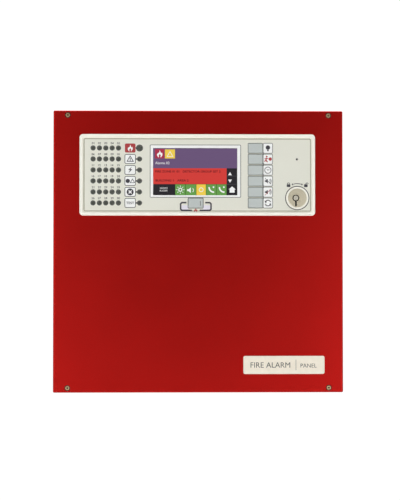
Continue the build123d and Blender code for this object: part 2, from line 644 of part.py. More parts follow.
def make_power_supply():
    """A switch-mode supply: base tray, perforated lid, board with coils and cans, and its terminals."""
    w, h, sheet = SUPPLY_W, SUPPLY_H, SUPPLY_SHEET
    bottom = SUPPLY_Z - h / 2
    base = slab(w, h, SHEET, SHEET + sheet, SUPPLY_X, SUPPLY_Z)
    for side in (-1, 1):
        base += slab(sheet, h, SHEET, SUPPLY_FRONT - sheet, SUPPLY_X + side * (w - sheet) / 2, SUPPLY_Z)
    base += [
        rod(2.2, SHEET + sheet, SUPPLY_BOARD_BACK, SUPPLY_X + sx * 42, SUPPLY_Z + sz * 36)
        for sx in (-1, 1)
        for sz in (-1, 1)
    ]
    save("psu_base", base)
    lid = slab(w, h - 20, SUPPLY_FRONT - sheet, SUPPLY_FRONT, SUPPLY_X, SUPPLY_Z + 10)
    lid += slab(w, 20, SUPPLY_FRONT - sheet, SUPPLY_FRONT, SUPPLY_X, bottom + 10) - slab(
        w - 24, 16, SUPPLY_FRONT - 2, SUPPLY_FRONT + 1, SUPPLY_X, bottom + 7
    )
    lid += slab(w - 2 * sheet - 0.4, sheet, SHEET + 2, SUPPLY_FRONT, SUPPLY_X, bottom + h - sheet / 2)
    vents = [
        rod(2.1, SUPPLY_FRONT - 2, SUPPLY_FRONT + 1, SUPPLY_X + (column - 4.5) * 7, SUPPLY_Z - 20 + row * 7)
        for column in range(10)
        for row in range(8)
    ]
    vents += [rod(1.5, SUPPLY_FRONT - 6, SUPPLY_FRONT + 1, x, z) for x, z in supply_screw_places()]
    save("psu_cover", lid - vents)
    face = SUPPLY_BOARD_FRONT
    board = slab(w - 4, h - 4, SUPPLY_BOARD_BACK, face, SUPPLY_X, SUPPLY_Z)
    transformer = slab(30, 26, face, face + 22, SUPPLY_X + 2, SUPPLY_Z + 8)
    transformer = fillet(transformer.edges().filter_by(Axis.Y), 2)
    sinks = [slab(2, 34, face, face + 24, SUPPLY_X + side, SUPPLY_Z + 12) for side in (-18, 22)]
    cans = [rod(8, face, face + 22, SUPPLY_X - 32, SUPPLY_Z + z) for z in (-8, 12, 32)]
    coil = rod(8.5, face, face + 12, SUPPLY_X + 35, SUPPLY_Z + 26)
    filters = [slab(13, 18, face, face + 16, SUPPLY_X + 35, SUPPLY_Z + z) for z in (2, -20)]
    save("psu_board", board, transformer, coil, *sinks, *cans, *filters)
    terminals = []
    for pole in range(6):
        x = supply_pole(pole)
        block = slab(9.2, 13, face, face + 14, x, bottom + 9)
        block -= slab(MOUTH_W, 6, face + 3, face + 8, x, bottom + 5)
        block -= rod(2.6, face + 9, face + 15, x, bottom + 9)
        terminals.append(block)
    save("psu_terminals", *terminals)


def supply_pole(index):
    return SUPPLY_X + (index - 2.5) * SUPPLY_POLE_PITCH


def mains_pole(index):
    return MAINS_X + (index - 1) * 11


def make_mains_entry():
    """The fused mains terminal block and the earth stud with its nuts and washers."""
    block = slab(40, 22, SHEET, SHEET + 20, MAINS_X, MAINS_Z)
    block += slab(40, 14, SHEET + 20, SHEET + 26, MAINS_X, MAINS_Z)
    for pole in range(3):
        x = mains_pole(pole)
        for side in (-1, 1):
            block -= slab(MOUTH_W, 6, SHEET + 10, SHEET + 16, x, MAINS_Z + side * 8.6)
            block -= rod(2.4, SHEET + 17, SHEET + 27, x, MAINS_Z + side * 3.6)
    save("mains_terminal_block", block)
    stud = rod(2.5, SHEET, SHEET + 22, EARTH_X, EARTH_Z) + rod(5.5, SHEET, SHEET + 1.5, EARTH_X, EARTH_Z)
    save("earth_stud", stud)
    nuts = []
    for back in (SHEET + 1.6, SHEET + 9):
        nut = hexagon_bar(4.0, back + 1, back + 5, EARTH_X, EARTH_Z) + rod(5, back, back + 1, EARTH_X, EARTH_Z)
        nuts.append(nut - rod(2.55, back - 1, back + 6, EARTH_X, EARTH_Z))
    save("earth_nuts", *nuts)


# ------------------------------------------------------------------ the standby batteries
def battery_centres():
    return [-(BATTERY_W + BATTERY_GAP) / 2, (BATTERY_W + BATTERY_GAP) / 2]


def tab_places():
    """The four spade tabs from left to right: left minus, left plus, right minus, right plus."""
    return [x + side * (BATTERY_W / 2 - TAB_INSET) for x in battery_centres() for side in (-1, 1)]


def make_batteries():
    floor = -BOX_TOP + SHEET
    top = floor + BATTERY_H
    seam = top - BATTERY_LID_H
    case_h = BATTERY_H - BATTERY_LID_H - SEAM_GAP
    back, front = BATTERY_BACK, BATTERY_BACK + BATTERY_D
    cases = []
    lids = []
    for x in battery_centres():
        case = slab(BATTERY_W, case_h, back, front, x, floor + case_h / 2)
        cases.append(fillet(case.edges().filter_by(Axis.Z), 2.0))
        lid = slab(BATTERY_W, BATTERY_LID_H, back, front, x, top - BATTERY_LID_H / 2)
        lid = fillet(lid.edges().filter_by(Axis.Z), 2.0)
        for cell in range(6):
            lid -= upright(8, top - 1.2, top + 1, x + (cell - 2.5) * 21, (back + front) / 2)
        lid += slab(BATTERY_W - 6, SEAM_GAP, back + 3, front - 3, x, seam - SEAM_GAP / 2)
        lids.append(lid)
    save("battery_cases", *cases)
    save("battery_lids", *lids)
    save("battery_tabs", *[
        slab(TAB_W, TAB_H, TAB_DEPTH - 0.4, TAB_DEPTH + 0.4, x, top + TAB_H / 2)
        + slab(10, 1.5, TAB_DEPTH - 4, TAB_DEPTH + 4, x, top + 0.75)
        for x in tab_places()
    ])
    crimps = []
    for x in tab_places():
        sleeve = slab(8.4, 12, TAB_DEPTH - 2.2, TAB_DEPTH + 2.2, x, top + 2 + 6, corner=1.2)
        sleeve -= slab(TAB_W + 0.3, 8.2, TAB_DEPTH - 0.6, TAB_DEPTH + 0.6, x, top + 4)
        crimps.append(sleeve + upright(2.0, top + 14, top + CRIMP_TOP, x, TAB_DEPTH))
    save("crimp_connectors", *crimps)


def make_leads():
    """The battery, supply and mains leads, held at both ends along their whole routes."""
    start = -BOX_TOP + SHEET + BATTERY_H + CRIMP_TOP
    depth = TAB_DEPTH
    left_minus, left_plus, right_minus, right_plus = tab_places()
    rise = 30
    save("battery_link_lead", tube("battery_link_lead", LEAD_R, [
        (left_plus, depth, start),
        (left_plus, depth, start + rise),
        (right_minus, depth, start + rise),
        (right_minus, depth, start),
    ]))
    inlet = MAIN_FRONT + TERMINAL_D - 5
    black_x, red_x = battery_inlet_places()
    left = tube("battery_lead_minus", LEAD_R, [
        (left_minus, depth, start),
        (left_minus, depth, start + 34),
        (left_minus + 52, depth - 1, start + 38),
        (left_minus + 108, depth - 2, start + 36),
        (black_x, depth - 2, INLET_Z),
        (black_x, inlet, INLET_Z),
    ])
    right = tube("battery_lead_plus", LEAD_R, [
        (right_plus, depth, start),
        (right_plus, depth, start + 32),
        (right_plus - 54, depth - 1, start + 36),
        (red_x, depth - 2, INLET_Z),
        (red_x, inlet, INLET_Z),
    ])
    save("battery_leads", left, right)
    outlet = SUPPLY_BOARD_FRONT + 5.5
    socket = SUPPLY_Z - SUPPLY_H / 2
    supply = []
    for pole, height in enumerate(supply_inlet_heights()):
        supply.append(tube("psu_lead", SMALL_LEAD_R, [
            (supply_pole(pole), outlet, socket + 5),
            (supply_pole(pole), outlet + 1, height),
            (MAIN_RIGHT - 5, MAIN_FRONT + 5, height),
        ]))
    save("psu_leads", *supply)
    mains = []
    for pole in range(3):
        mains.append(tube("mains_lead", LEAD_R, [
            (mains_pole(pole), SHEET + 13, MAINS_Z + 8),
            (mains_pole(pole), SHEET + 15.5, MAINS_Z + 20),
            (supply_pole(pole + 3), outlet + 2.5, socket - 6),
            (supply_pole(pole + 3), outlet, socket + 5),
        ]))
    save("mains_leads", *mains)


def battery_inlet_places():
    return INLET_X - 6, INLET_X + 6


def supply_inlet_heights():
    return 9.0, 2.0


def make_power_inlets():
    """Two blocks on the main board: front entry for the battery leads, side entry for the supply leads."""
    front = slab(24, 11, MAIN_FRONT, MAIN_FRONT + TERMINAL_D, INLET_X, INLET_Z)
    for x in battery_inlet_places():
        front -= rod(LEAD_R + 0.35, MAIN_FRONT + 6, MAIN_FRONT + TERMINAL_D + 1, x, INLET_Z)
    side_x = MAIN_RIGHT - 5
    side = slab(10, 16, MAIN_FRONT, MAIN_FRONT + 10, side_x, 5.5)
    for height in supply_inlet_heights():
        side -= slab(8, 3.4, MAIN_FRONT + 3, MAIN_FRONT + 7, side_x + 2, height)
        side -= rod(1.5, MAIN_FRONT + 7, MAIN_FRONT + 11, side_x, height)
    save("power_inlets", front, side)


# ------------------------------------------------------------------ build every node
os.makedirs("parts", exist_ok=True)
make_back_box()
make_cable_entry_plugs()
make_front_cover()
make_cover_screws()
make_nameplate()
make_bezel()
make_overlay_foil()
make_display()
make_console_board()
make_retaining_frame()
make_console_screws()
make_lamps()
make_keys()
make_buzzer()
make_lock()
make_console_header()
make_motherboard()
make_terminals()
make_board_parts()
make_ribbon()
make_power_supply()
make_mains_entry()
make_batteries()
make_power_inlets()
make_leads()
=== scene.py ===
# %% [markdown]
# # A wall-mounted fire alarm panel
# The panel is a folded steel box with a pull-off steel cover. The cover carries a white moulded console
# with lamps, a touch screen, soft keys and a key switch. The solid parts come ready-made in metres,
# standing in their own frame: X to the viewer's right, Z up, and the wall at Y = 0 behind the panel. This
# lesson adds the printing, the screen picture, the labels and the board detail, and gives every surface
# its finish.

# %% Load the solid parts
import json
import math

import bmesh
import bpy
import numpy as np
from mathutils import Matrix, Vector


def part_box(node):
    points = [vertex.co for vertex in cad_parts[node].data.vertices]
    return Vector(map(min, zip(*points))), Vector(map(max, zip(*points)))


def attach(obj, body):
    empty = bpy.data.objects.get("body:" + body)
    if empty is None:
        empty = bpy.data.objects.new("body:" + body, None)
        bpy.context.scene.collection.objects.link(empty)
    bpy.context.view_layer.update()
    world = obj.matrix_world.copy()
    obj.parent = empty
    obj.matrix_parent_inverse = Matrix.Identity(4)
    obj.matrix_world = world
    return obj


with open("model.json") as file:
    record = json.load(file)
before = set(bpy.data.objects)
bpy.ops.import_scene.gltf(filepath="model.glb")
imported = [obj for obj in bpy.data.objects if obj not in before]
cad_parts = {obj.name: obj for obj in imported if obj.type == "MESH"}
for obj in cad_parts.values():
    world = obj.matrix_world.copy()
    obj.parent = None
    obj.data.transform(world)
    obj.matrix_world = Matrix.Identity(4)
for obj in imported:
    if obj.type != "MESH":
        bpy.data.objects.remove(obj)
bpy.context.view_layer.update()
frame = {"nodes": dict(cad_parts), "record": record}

# %% [markdown]
# ## Units and colours
# Sizes are written in millimetres, as on a drawing, and turned to metres once. A point at depth d stands
# d millimetres out from the wall. Colours are written as sRGB hex codes and turned to linear light by one
# function, because shaders add up light and not screen values.

# %% Units and colours
MM = 0.001


def linear(code):
    """sRGB hex to linear light: c / 12.92 near black, else ((c + 0.055) / 1.055) to the power 2.4."""
    channel = np.array([int(code[start : start + 2], 16) for start in (0, 2, 4)]) / 255
    light = np.where(channel <= 0.04045, channel / 12.92, ((channel + 0.055) / 1.055) ** 2.4)
    return (*light.tolist(), 1.0)


def middle_mm(name):
    """The x and z of a part's centre, in millimetres."""
    low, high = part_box(name)
    return (low[0] + high[0]) / 2 / MM, (low[2] + high[2]) / 2 / MM


def front_mm(name):
    """How far a part's front stands out from the wall, in millimetres."""
    return -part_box(name)[0][1] / MM


CONSOLE_X, CONSOLE_Z = middle_mm("bezel")
FOIL, GLASS, BOARD = (front_mm(name) for name in ("overlay_foil", "display_glass", "motherboard"))
print("console centre", round(CONSOLE_X, 1), round(CONSOLE_Z, 1), "foil depth", round(FOIL, 2))

# %% [markdown]
# ## Building a finish
# Every finish here is one Principled shader fed by fine noise: the noise shifts the colour a little,
# makes the gloss uneven and raises a grain. What differs is the real surface: its colour, the size of its
# grain in millimetres and how deep that grain is. Noise on Object coordinates stays fixed to the part
# when it moves.

# %% One function adds a node, one makes a finish
# Noise mostly lies between these two values. The broad noise that shifts the gloss has this grain in mm.
NOISE_LOW, NOISE_HIGH = 0.3, 0.7
CLOUD = 45


def add(tree, kind, inputs=None, **settings):
    """Adds a node. settings are its properties; inputs are socket values, or the sockets linked to them."""
    made = tree.nodes.new(kind)
    for key, value in settings.items():
        setattr(made, key, value)
    for key, value in (inputs or {}).items():
        if isinstance(value, bpy.types.NodeSocket):
            tree.links.new(value, made.inputs[key])
        else:
            made.inputs[key].default_value = value
    return made


def blend(tree, share, first, second):
    """A colour mixed from two: first * (1 - share) + second * share."""
    return add(tree, "ShaderNodeMix", {0: share, 6: first, 7: second}, data_type="RGBA").outputs[2]


def calculate(tree, operation, *values):
    """The result of one arithmetic node."""
    return add(tree, "ShaderNodeMath", dict(enumerate(values)), operation=operation).outputs[0]


def finish(
    name, tone, deeper, grain, rough, relief=0.0, swing=0.06, stretch=(1, 1, 1), pattern=None, **sockets
):
    """A surface whose colour runs between two tones by noise of one grain size, with gloss and relief."""
    material = bpy.data.materials.new(name)
    material.use_nodes = True
    tree = material.node_tree
    tree.nodes.clear()
    place = add(tree, "ShaderNodeTexCoord").outputs["Object"]
    laid = add(tree, "ShaderNodeMapping", {"Vector": place, "Scale": stretch}).outputs["Vector"]
    fine = add(tree, "ShaderNodeTexNoise", {"Vector": laid, "Scale": 1 / (grain * MM), "Detail": 4.0})
    broad = add(tree, "ShaderNodeTexNoise", {"Vector": place, "Scale": 1 / (CLOUD * MM), "Detail": 3.0})
    spread = {0: fine.outputs["Fac"], 1: NOISE_LOW, 2: NOISE_HIGH}
    share = add(tree, "ShaderNodeMapRange", spread).outputs[0]
    colour = blend(tree, share, linear(tone), linear(deeper))
    height = fine.outputs["Fac"]
    if pattern:
        colour, height = pattern(tree, place, colour, height)
    gloss = {0: broad.outputs["Fac"], 1: NOISE_LOW, 2: NOISE_HIGH}
    gloss.update({3: max(rough - swing, 0.02), 4: rough + swing})
    shader = add(tree, "ShaderNodeBsdfPrincipled", {"Base Color": colour})
    tree.links.new(add(tree, "ShaderNodeMapRange", gloss).outputs[0], shader.inputs["Roughness"])
    if relief:
        bump = add(tree, "ShaderNodeBump", {"Height": height, "Distance": relief * MM, "Strength": 0.8})
        tree.links.new(bump.outputs[0], shader.inputs["Normal"])
    for key, value in sockets.items():
        shader.inputs[key.replace("_", " ")].default_value = value
    add(tree, "ShaderNodeOutputMaterial", {"Surface": shader.outputs[0]})
    return material


# %% [markdown]
# ## Patterns that follow real sizes
# Some surfaces carry a regular pattern: the ribs of a flat cable lie 1.27 mm apart, a turned metal face
# shows rings, and a circuit board shows copper tracks under its lacquer. Each pattern is a texture whose
# scale is worked out from that size, mixed over the finish's own colour and height.

# %% Ribs, turned rings and copper tracks
# A wave texture of scale 1 repeats every 0.31416 units, so this number over the pitch gives its scale.
WAVE_UNIT = math.pi / 10
WIRE_PITCH = 1.27
RING_PITCH = 0.35
TRACK_CELL = 9.0
TRACK_BANDS = 5.0
TRACK_SHARE = 0.34


def ribs(tree, place, colour, height):
    """Round ribs across x, one for each 1.27 mm wire, with the edge wire red."""
    scale = WAVE_UNIT / (WIRE_PITCH * MM)
    wave = add(tree, "ShaderNodeTexWave", {"Vector": place, "Scale": scale}, bands_direction="X")
    across = add(tree, "ShaderNodeSeparateXYZ", {"Vector": place}).outputs["X"]
    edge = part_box("ribbon_cable")[0][0] + WIRE_PITCH * MM
    first = calculate(tree, "LESS_THAN", across, edge)
    return blend(tree, first, colour, linear("A3242B")), wave.outputs["Fac"]


def turned_rings(tree, place, colour, height):
    """Rings 0.35 mm apart round the key switch's axis, left by a lathe."""
    x, z = middle_mm("lock_barrel")
    moved = add(tree, "ShaderNodeMapping", {"Vector": place, "Location": (-x * MM, 0, -z * MM)}).outputs[0]
    rings = add(
        tree,
        "ShaderNodeTexWave",
        {"Vector": moved, "Scale": WAVE_UNIT / (RING_PITCH * MM), "Distortion": 1.2, "Detail Scale": 3.0},
        wave_type="RINGS",
        rings_direction="Y",
    )
    return colour, rings.outputs["Fac"]


def tracks(tree, place, colour, height):
    """Copper tracks under green lacquer: the edges of squarish cells about 9 mm wide, seen as paler lines."""
    cells = add(
        tree,
        "ShaderNodeTexVoronoi",
        {"Vector": place, "Scale": 1 / (TRACK_CELL * MM), "Randomness": 0.8},
        distance="MANHATTAN",
        feature="F2",
    )
    bands = calculate(tree, "MULTIPLY", cells.outputs["Distance"], TRACK_BANDS)
    line = calculate(tree, "LESS_THAN", calculate(tree, "FRACT", bands), TRACK_SHARE)
    return blend(tree, line, colour, linear("3C8A54")), line


# %% [markdown]
# ## The finishes
# Each one is named for the real material. Paint and plastic are dielectrics with a gloss that depends on
# how they were made; plated and milled metals have no body colour and only reflect.

# %% Coated steel and bare metals
finishes = {}
# Polyester powder coat on folded steel: an even deep red with a fine orange-peel ripple that softens
# reflections. Fine metal flakes under the colour tint its highlights red.
finishes["red_paint"] = finish(
    "powder_coat_red_metallic", "BC0F08", "AE0D07", 0.9, 0.34, 0.008, swing=0.012, Metallic=0.82
)
# Zinc-plated mild steel: pale grey with a cool, slightly cloudy shine.
finishes["zinc_steel"] = finish("zinc_plated_steel", "C9CBCB", "B4B7B9", 2.5, 0.34, 0.004, Metallic=1.0)
# Bronzed cross-head screws: brown metal with a soft shine.
finishes["bronze_steel"] = finish("bronzed_steel", "C7A77E", "A98A64", 0.6, 0.4, 0.004, Metallic=0.7)
# Nickel-plated brass: warm white metal.
finishes["plated_brass"] = finish("nickel_plated_brass", "D8CDAE", "C3B48E", 1.2, 0.28, 0.003, Metallic=1.0)
# Satin nickel face of the key switch: turned rings and a warm champagne tint.
finishes["lock_metal"] = finish(
    "satin_nickel_turned", "E0D8C0", "D5CCB2", 0.5, 0.34, 0.012, pattern=turned_rings, Metallic=0.65
)
# Black-anodised extruded aluminium: dark with lengthwise drawing lines.
finishes["anodised"] = finish(
    "anodised_aluminium_black", "26282B", "17181A", 0.5, 0.4, 0.01, stretch=(1, 1, 0.05), Metallic=0.6
)
# Mill-finish aluminium sheet of the power supply: straight rolling lines 0.4 mm apart.
finishes["supply_aluminium"] = finish(
    "mill_aluminium_rolled", "CFD2D4", "B9BDC0", 0.4, 0.33, 0.006, stretch=(1, 1, 0.04), Metallic=1.0
)
# Tinned sheet of the network socket and of the key domes.
finishes["socket_shell"] = finish("tinned_steel", "D2D3D2", "BDBFBF", 1.0, 0.25, 0.003, Metallic=1.0)
print("metals", len(finishes))

# %% Moulded plastics, film, rubber and glass
# Gloss ABS of the console frame: bright warm white with faint flow marks.
finishes["bezel_white"] = finish("gloss_abs_white", "FFFDF2", "FCF9EC", 6.0, 0.24, 0.002, Coat_Weight=0.2)
# Matt polyester film: a warm pale grey-green white with a fine velvet grain that hides fingerprints.
finishes["foil_cream"] = finish("polyester_film_matt", "E6E6DA", "E1E1D4", 0.5, 0.5, 0.004, IOR=1.57)
# Silicone keys: soft cool grey with no shine.
finishes["key_rubber"] = finish("silicone_key_grey", "C3CAC8", "B9C0BE", 0.7, 0.6, 0.008)
# Smoked polycarbonate lamp windows: nearly black green-grey, paler in the middle of the dome.
finishes["lens_smoke"] = finish("smoked_polycarbonate", "565952", "4A4D47", 2.0, 0.25, 0.0, Coat_Weight=0.2)
# Bonded cover glass with the dark module behind it.
finishes["screen_glass"] = finish("bonded_black_glass", "1A181C", "121014", 8.0, 0.08, 0.0, IOR=1.52)
# Printed acrylic nameplate: warm white with a smooth gloss.
finishes["label_white"] = finish("printed_acrylic_plate", "FAF2E2", "F5EDDC", 5.0, 0.25, 0.0, Coat_Weight=0.2)
finishes["grommet_plastic"] = finish("polyamide_black", "2A2A2C", "1F1F21", 0.8, 0.5, 0.02)
finishes["terminal_green"] = finish("polyamide_green", "2C8A4B", "247A40", 0.8, 0.42, 0.012)
finishes["relay_black"] = finish("polyester_black", "1C1D20", "26272A", 1.0, 0.35, 0.01)
finishes["capacitor_sleeve"] = finish("shrunk_pvc_sleeve", "1D2740", "161E33", 3.0, 0.22, 0.004)
finishes["chip_epoxy"] = finish("moulded_epoxy", "222224", "2B2B2D", 0.5, 0.55, 0.02)
finishes["fuse_glass"] = finish("fuse_glass_and_caps", "BFC2BD", "A9ADA8", 3.0, 0.15, 0.0, Metallic=0.5)
finishes["ribbon_grey"] = finish("pvc_flat_cable", "9A9FA2", "8F9497", 1.5, 0.42, 0.35, pattern=ribs)
finishes["supply_board"] = finish("paper_laminate_brown", "8A6A35", "7B5C2C", 1.5, 0.5, 0.01)
finishes["terminal_black"] = finish("polyamide_charcoal", "2E2E2F", "252526", 0.8, 0.45, 0.015)
finishes["terminal_cream"] = finish("polyamide_cream", "E4DFCF", "DAD5C4", 0.9, 0.42, 0.012)
finishes["battery_case"] = finish("abs_battery_grey", "3B4046", "34393F", 0.9, 0.5, 0.03)
finishes["battery_lid"] = finish("abs_battery_black", "26282B", "1F2124", 0.9, 0.45, 0.03)
finishes["crimp_sleeve"] = finish("pvc_crimp_sleeve_red", "C0352C", "B02C25", 1.5, 0.3, 0.004)
finishes["lead_sheath"] = finish("pvc_lead_black", "1B1B1C", "262627", 1.2, 0.4, 0.01)
finishes["lead_sheath_small"] = finish("pvc_lead_brown", "8C3A2A", "7D3124", 1.2, 0.4, 0.01)
# Glass-fibre board under green lacquer: glossy, with the copper tracks showing as paler raised lines.
finishes["board_laminate"] = finish(
    "solder_mask_green", "14502C", "114627", 2.0, 0.28, 0.03, pattern=tracks, Coat_Weight=0.3
)
print("finishes", len(finishes))

# %% [markdown]
# ## Putting the finishes on the solid parts
# The record says which finish each part takes. Only the material changes: a solid part's mesh stays as it is.

# %% Finish every solid part
slot_of = {part["node"]: part["material_slot"] for part in frame["record"]["subparts"]}
for name, part in frame["nodes"].items():
    while len(part.data.materials) < 1:
        part.data.materials.append(None)
    for holder in part.material_slots:
        holder.material = finishes[slot_of[name]]
print("finished", len(slot_of))

# %% [markdown]
# ## Inks
# Screen-printed ink is a thin, slightly glossy layer. It is made here as real geometry a few hundredths of a
# millimetre thick, because a printed edge then stays crisp from any distance and needs no picture file.

# %% Ink colours


def ink(name, tone, rough=0.4, glow=0.0):
    """Printed ink, a painted shade or shadow colour, or a lit patch of the display when glow is above
    nothing.
    """
    red, green, blue = (int(tone[start : start + 2], 16) for start in (0, 2, 4))
    deeper = "%02X%02X%02X" % (int(red * 0.975), int(green * 0.975), int(blue * 0.975))
    made = finish(name, "141216" if glow else tone, "0E0D10" if glow else deeper, 0.8, rough, 0.0, swing=0.04)
    if glow:
        shader = next(item for item in made.node_tree.nodes if item.type == "BSDF_PRINCIPLED")
        shader.inputs["Emission Color"].default_value = linear(tone)
        shader.inputs["Emission Strength"].default_value = glow
    return made


INKS = {
    "ink_grey": ink("screen_ink_grey", "52554F"),
    "ink_line": ink("screen_ink_line", "777A74"),
    "ink_dark": ink("screen_ink_dark", "3A3840"),
    # Painted shadow: near-black for the shade in the screw sinks, the driver recesses and the key switch's
    # groove and keyway.
    "shadow_paint_black": ink("painted_shadow_black", "0E0D0C"),
    "ink_white": ink("screen_ink_white", "FAFBFA"),
    "ink_red": ink("screen_ink_red", "B03A3C"),
    "ink_lilac": ink("screen_ink_lilac", "E9E6F0"),
    "ink_faint": ink("screen_ink_faint", "8E908A"),
    # Painted shade: a beige line for the shade on the console frame's sloped inner wall.
    "rim_shade_paint": ink("painted_rim_shade", "AAA894"),
    "ink_silk": ink("silk_screen_white", "D8DDD6"),
    "pad_tin": finish("solder_tin", "CDD0CE", "B9BDBC", 0.5, 0.25, 0.002, Metallic=1.0),
}
LIT = 0.92
for name, tone in {
    "lit_purple": "6B547A",
    "lit_red": "D73C35",
    "lit_black": "242226",
    "lit_green": "66A04C",
    "lit_yellow": "F4D24E",
    "lit_white": "F6F6F6",
    "lit_flame_red": "B0304A",
    "lit_dark_red": "5E0C12",
    "lit_grey": "5C5A60",
}.items():
    INKS[name] = ink("display_" + name, tone, 0.12, LIT)
print("inks", len(INKS))

# %% [markdown]
# ## Flat shapes
# Every symbol is a closed outline of x and z points. Nested outlines cut holes in each other. A 2-D curve
# fills them, gives them thickness and is turned into a mesh. The curve's own plane is then stood upright
# in front of the wall: its y becomes height and its z becomes depth.

# %% Outlines and the layer that fills them


def circle(x, z, radius, count=40):
    """Points at equal angles: x + r cos a, z + r sin a."""
    angle = np.linspace(0, 2 * np.pi, count, endpoint=False)
    return np.column_stack([x + radius * np.cos(angle), z + radius * np.sin(angle)])


def rounded(x, z, width, height, radius, count=6):
    """A rectangle whose corners are quarter circles, each added to its own corner centre."""
    angle = np.linspace(0, np.pi / 2, count)
    turns = angle[None, :] + np.array([0, 1, 2, 3])[:, None] * np.pi / 2
    cx = np.array([1, -1, -1, 1])[:, None] * (width / 2 - radius)
    cz = np.array([1, 1, -1, -1])[:, None] * (height / 2 - radius)
    across, up = x + cx + radius * np.cos(turns), z + cz + radius * np.sin(turns)
    return np.column_stack([across.ravel(), up.ravel()])


def stroke(points, width, closed=False):
    """A line of even width: each point moves half the width along its mitred normal, to either side."""
    line = np.asarray(points, float)
    after = np.roll(line, -1, 0) - line
    before = line - np.roll(line, 1, 0)
    if not closed:
        after[-1] = before[-1]
        before[0] = after[0]
    after /= np.linalg.norm(after, axis=1)[:, None]
    before /= np.linalg.norm(before, axis=1)[:, None]
    normal = np.column_stack([-(after + before)[:, 1], (after + before)[:, 0]])
    normal /= np.linalg.norm(normal, axis=1)[:, None]
    across = np.column_stack([-after[:, 1], after[:, 0]])
    reach = width / 2 / np.maximum((normal * across).sum(1), 0.35)
    left = line + normal * reach[:, None]
    right = line - normal * reach[:, None]
    return [left, right] if closed else [np.vstack([left, right[::-1]])]


def arc(x, z, radius, start, end, count=24):
    """Points on a circle between two angles in degrees, measured from the right, anticlockwise."""
    angle = np.radians(np.linspace(start, end, count))
    return np.column_stack([x + radius * np.cos(angle), z + radius * np.sin(angle)])


def placed(shape, x, z, size):
    """A unit shape scaled to size and moved to x, z."""
    return np.asarray(shape, float) * size + np.array([x, z])


def on_console(x, z):
    """A point given from the console's centre."""
    return CONSOLE_X + x, CONSOLE_Z + z


def on_circle(x, z, radius, turn):
    """The point of a circle at one angle in degrees."""
    return arc(x, z, radius, turn, turn, 1)[0]


def arrowhead(x, z, radius, turn, ahead, spread):
    """A triangle on a circle: its base lies across the line at turn, its tip is ahead degrees further on."""
    base = on_circle(x, z, radius, turn)
    out = (base - np.array([x, z])) / radius
    return np.array([on_circle(x, z, radius, turn + ahead), base + out * spread, base - out * spread])


def plus(thin):
    """A unit plus sign whose arms are twice thin wide."""
    half = [(0.5, thin), (thin, thin), (thin, 0.5), (-thin, 0.5), (-thin, thin), (-0.5, thin)]
    return np.array(half + [(-x, -z) for x, z in half])


def corners_of(mesh):
    """A mesh's corners as rows of x, y and z."""
    flat = np.empty(len(mesh.vertices) * 3)
    mesh.vertices.foreach_get("co", flat)
    return flat.reshape(-1, 3)


def stand_up(mesh, middle):
    """The corners of a flat mesh in metres, stood up at a depth: (x, y, z) becomes (x, -(depth + z), y)."""
    flat = corners_of(mesh)
    return np.column_stack([flat[:, 0], -(middle * MM + flat[:, 2]), flat[:, 1]])


def own(mesh, name, body, material):
    """Makes the mesh a piece at the origin: welds its seams, rides it on a body and gives it its finish."""
    seams = bmesh.new()
    seams.from_mesh(mesh)
    bmesh.ops.remove_doubles(seams, verts=seams.verts, dist=0.0001 * MM)
    seams.to_mesh(mesh)
    seams.free()
    mesh.materials.clear()
    mesh.materials.append(material)
    piece = bpy.data.objects.new(name, mesh)
    bpy.context.scene.collection.objects.link(piece)
    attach(piece, body)


def layer(name, outlines, low, high, body, slot, material):
    """Fills closed outlines between two depths."""
    curve = bpy.data.curves.new(name, "CURVE")
    curve.dimensions = "2D"
    curve.fill_mode = "BOTH"
    curve.extrude = (high - low) / 2 * MM
    for outline in outlines:
        spline = curve.splines.new("POLY")
        spline.points.add(len(outline) - 1)
        flat = np.zeros((len(outline), 4))
        flat[:, :2] = np.asarray(outline) * MM
        flat[:, 3] = 1
        spline.points.foreach_set("co", flat.ravel())
        spline.use_cyclic_u = True
    holder = bpy.data.objects.new(name, curve)
    mesh = bpy.data.meshes.new_from_object(holder)
    mesh.vertices.foreach_set("co", stand_up(mesh, (low + high) / 2).ravel())
    mesh.update()
    bpy.data.objects.remove(holder)
    own(mesh, name, body, material)


def lettering(name, words, low, high, body, slot, material, bold=0.0):
    """Words as one thin mesh. Each entry gives a text, its middle x and z, its height and its stretch."""
    corners, faces, start = [], [], 0
    for text, x, z, height, stretch in words:
        curve = bpy.data.curves.new(name, "FONT")
        curve.body = text
        curve.extrude = (high - low) / 2 * MM
        curve.resolution_u = 3
        curve.offset = bold
        holder = bpy.data.objects.new(name, curve)
        mesh = bpy.data.meshes.new_from_object(holder)
        points = corners_of(mesh)
        least, most = points.min(0), points.max(0)
        size = height * MM / (most[1] - least[1])
        shift = (points - (least + most) / 2) * np.array([size * stretch, size, 1.0])
        middle = (low + high) / 2 * MM
        corners.append(np.column_stack([x * MM + shift[:, 0], -(middle + shift[:, 2]), z * MM + shift[:, 1]]))
        faces += [[start + index for index in face.vertices] for face in mesh.polygons]
        start += len(points)
        bpy.data.objects.remove(holder)
    mesh = bpy.data.meshes.new(name)
    mesh.from_pydata(np.vstack(corners).tolist(), [], faces)
    mesh.update()
    own(mesh, name, body, material)


# One pass of ink in mm, and how far the outlines of small letters are thickened.
INK = 0.03
BOLD = 0.02


def print_on_foil(name, outlines, colour, level=1):
    """Ink on the console's film; a higher level lies over a lower one."""
    layer(name, outlines, FOIL, FOIL + INK * level, "cover", "foil_cream", INKS[colour])


def words_on_foil(name, words, colour, level=1):
    """Small thickened letters on the console's film."""
    lettering(name, words, FOIL, FOIL + INK * level, "cover", "foil_cream", INKS[colour], BOLD)


# %% [markdown]
# ## The flame
# The flame marks the fire lamp, the alarm key and the screen's alarm button. It is a closed outline with a
# pointed tip and a hollow at its foot, drawn in a unit square and scaled to each place.

# %% A flame, smoothed through a few points


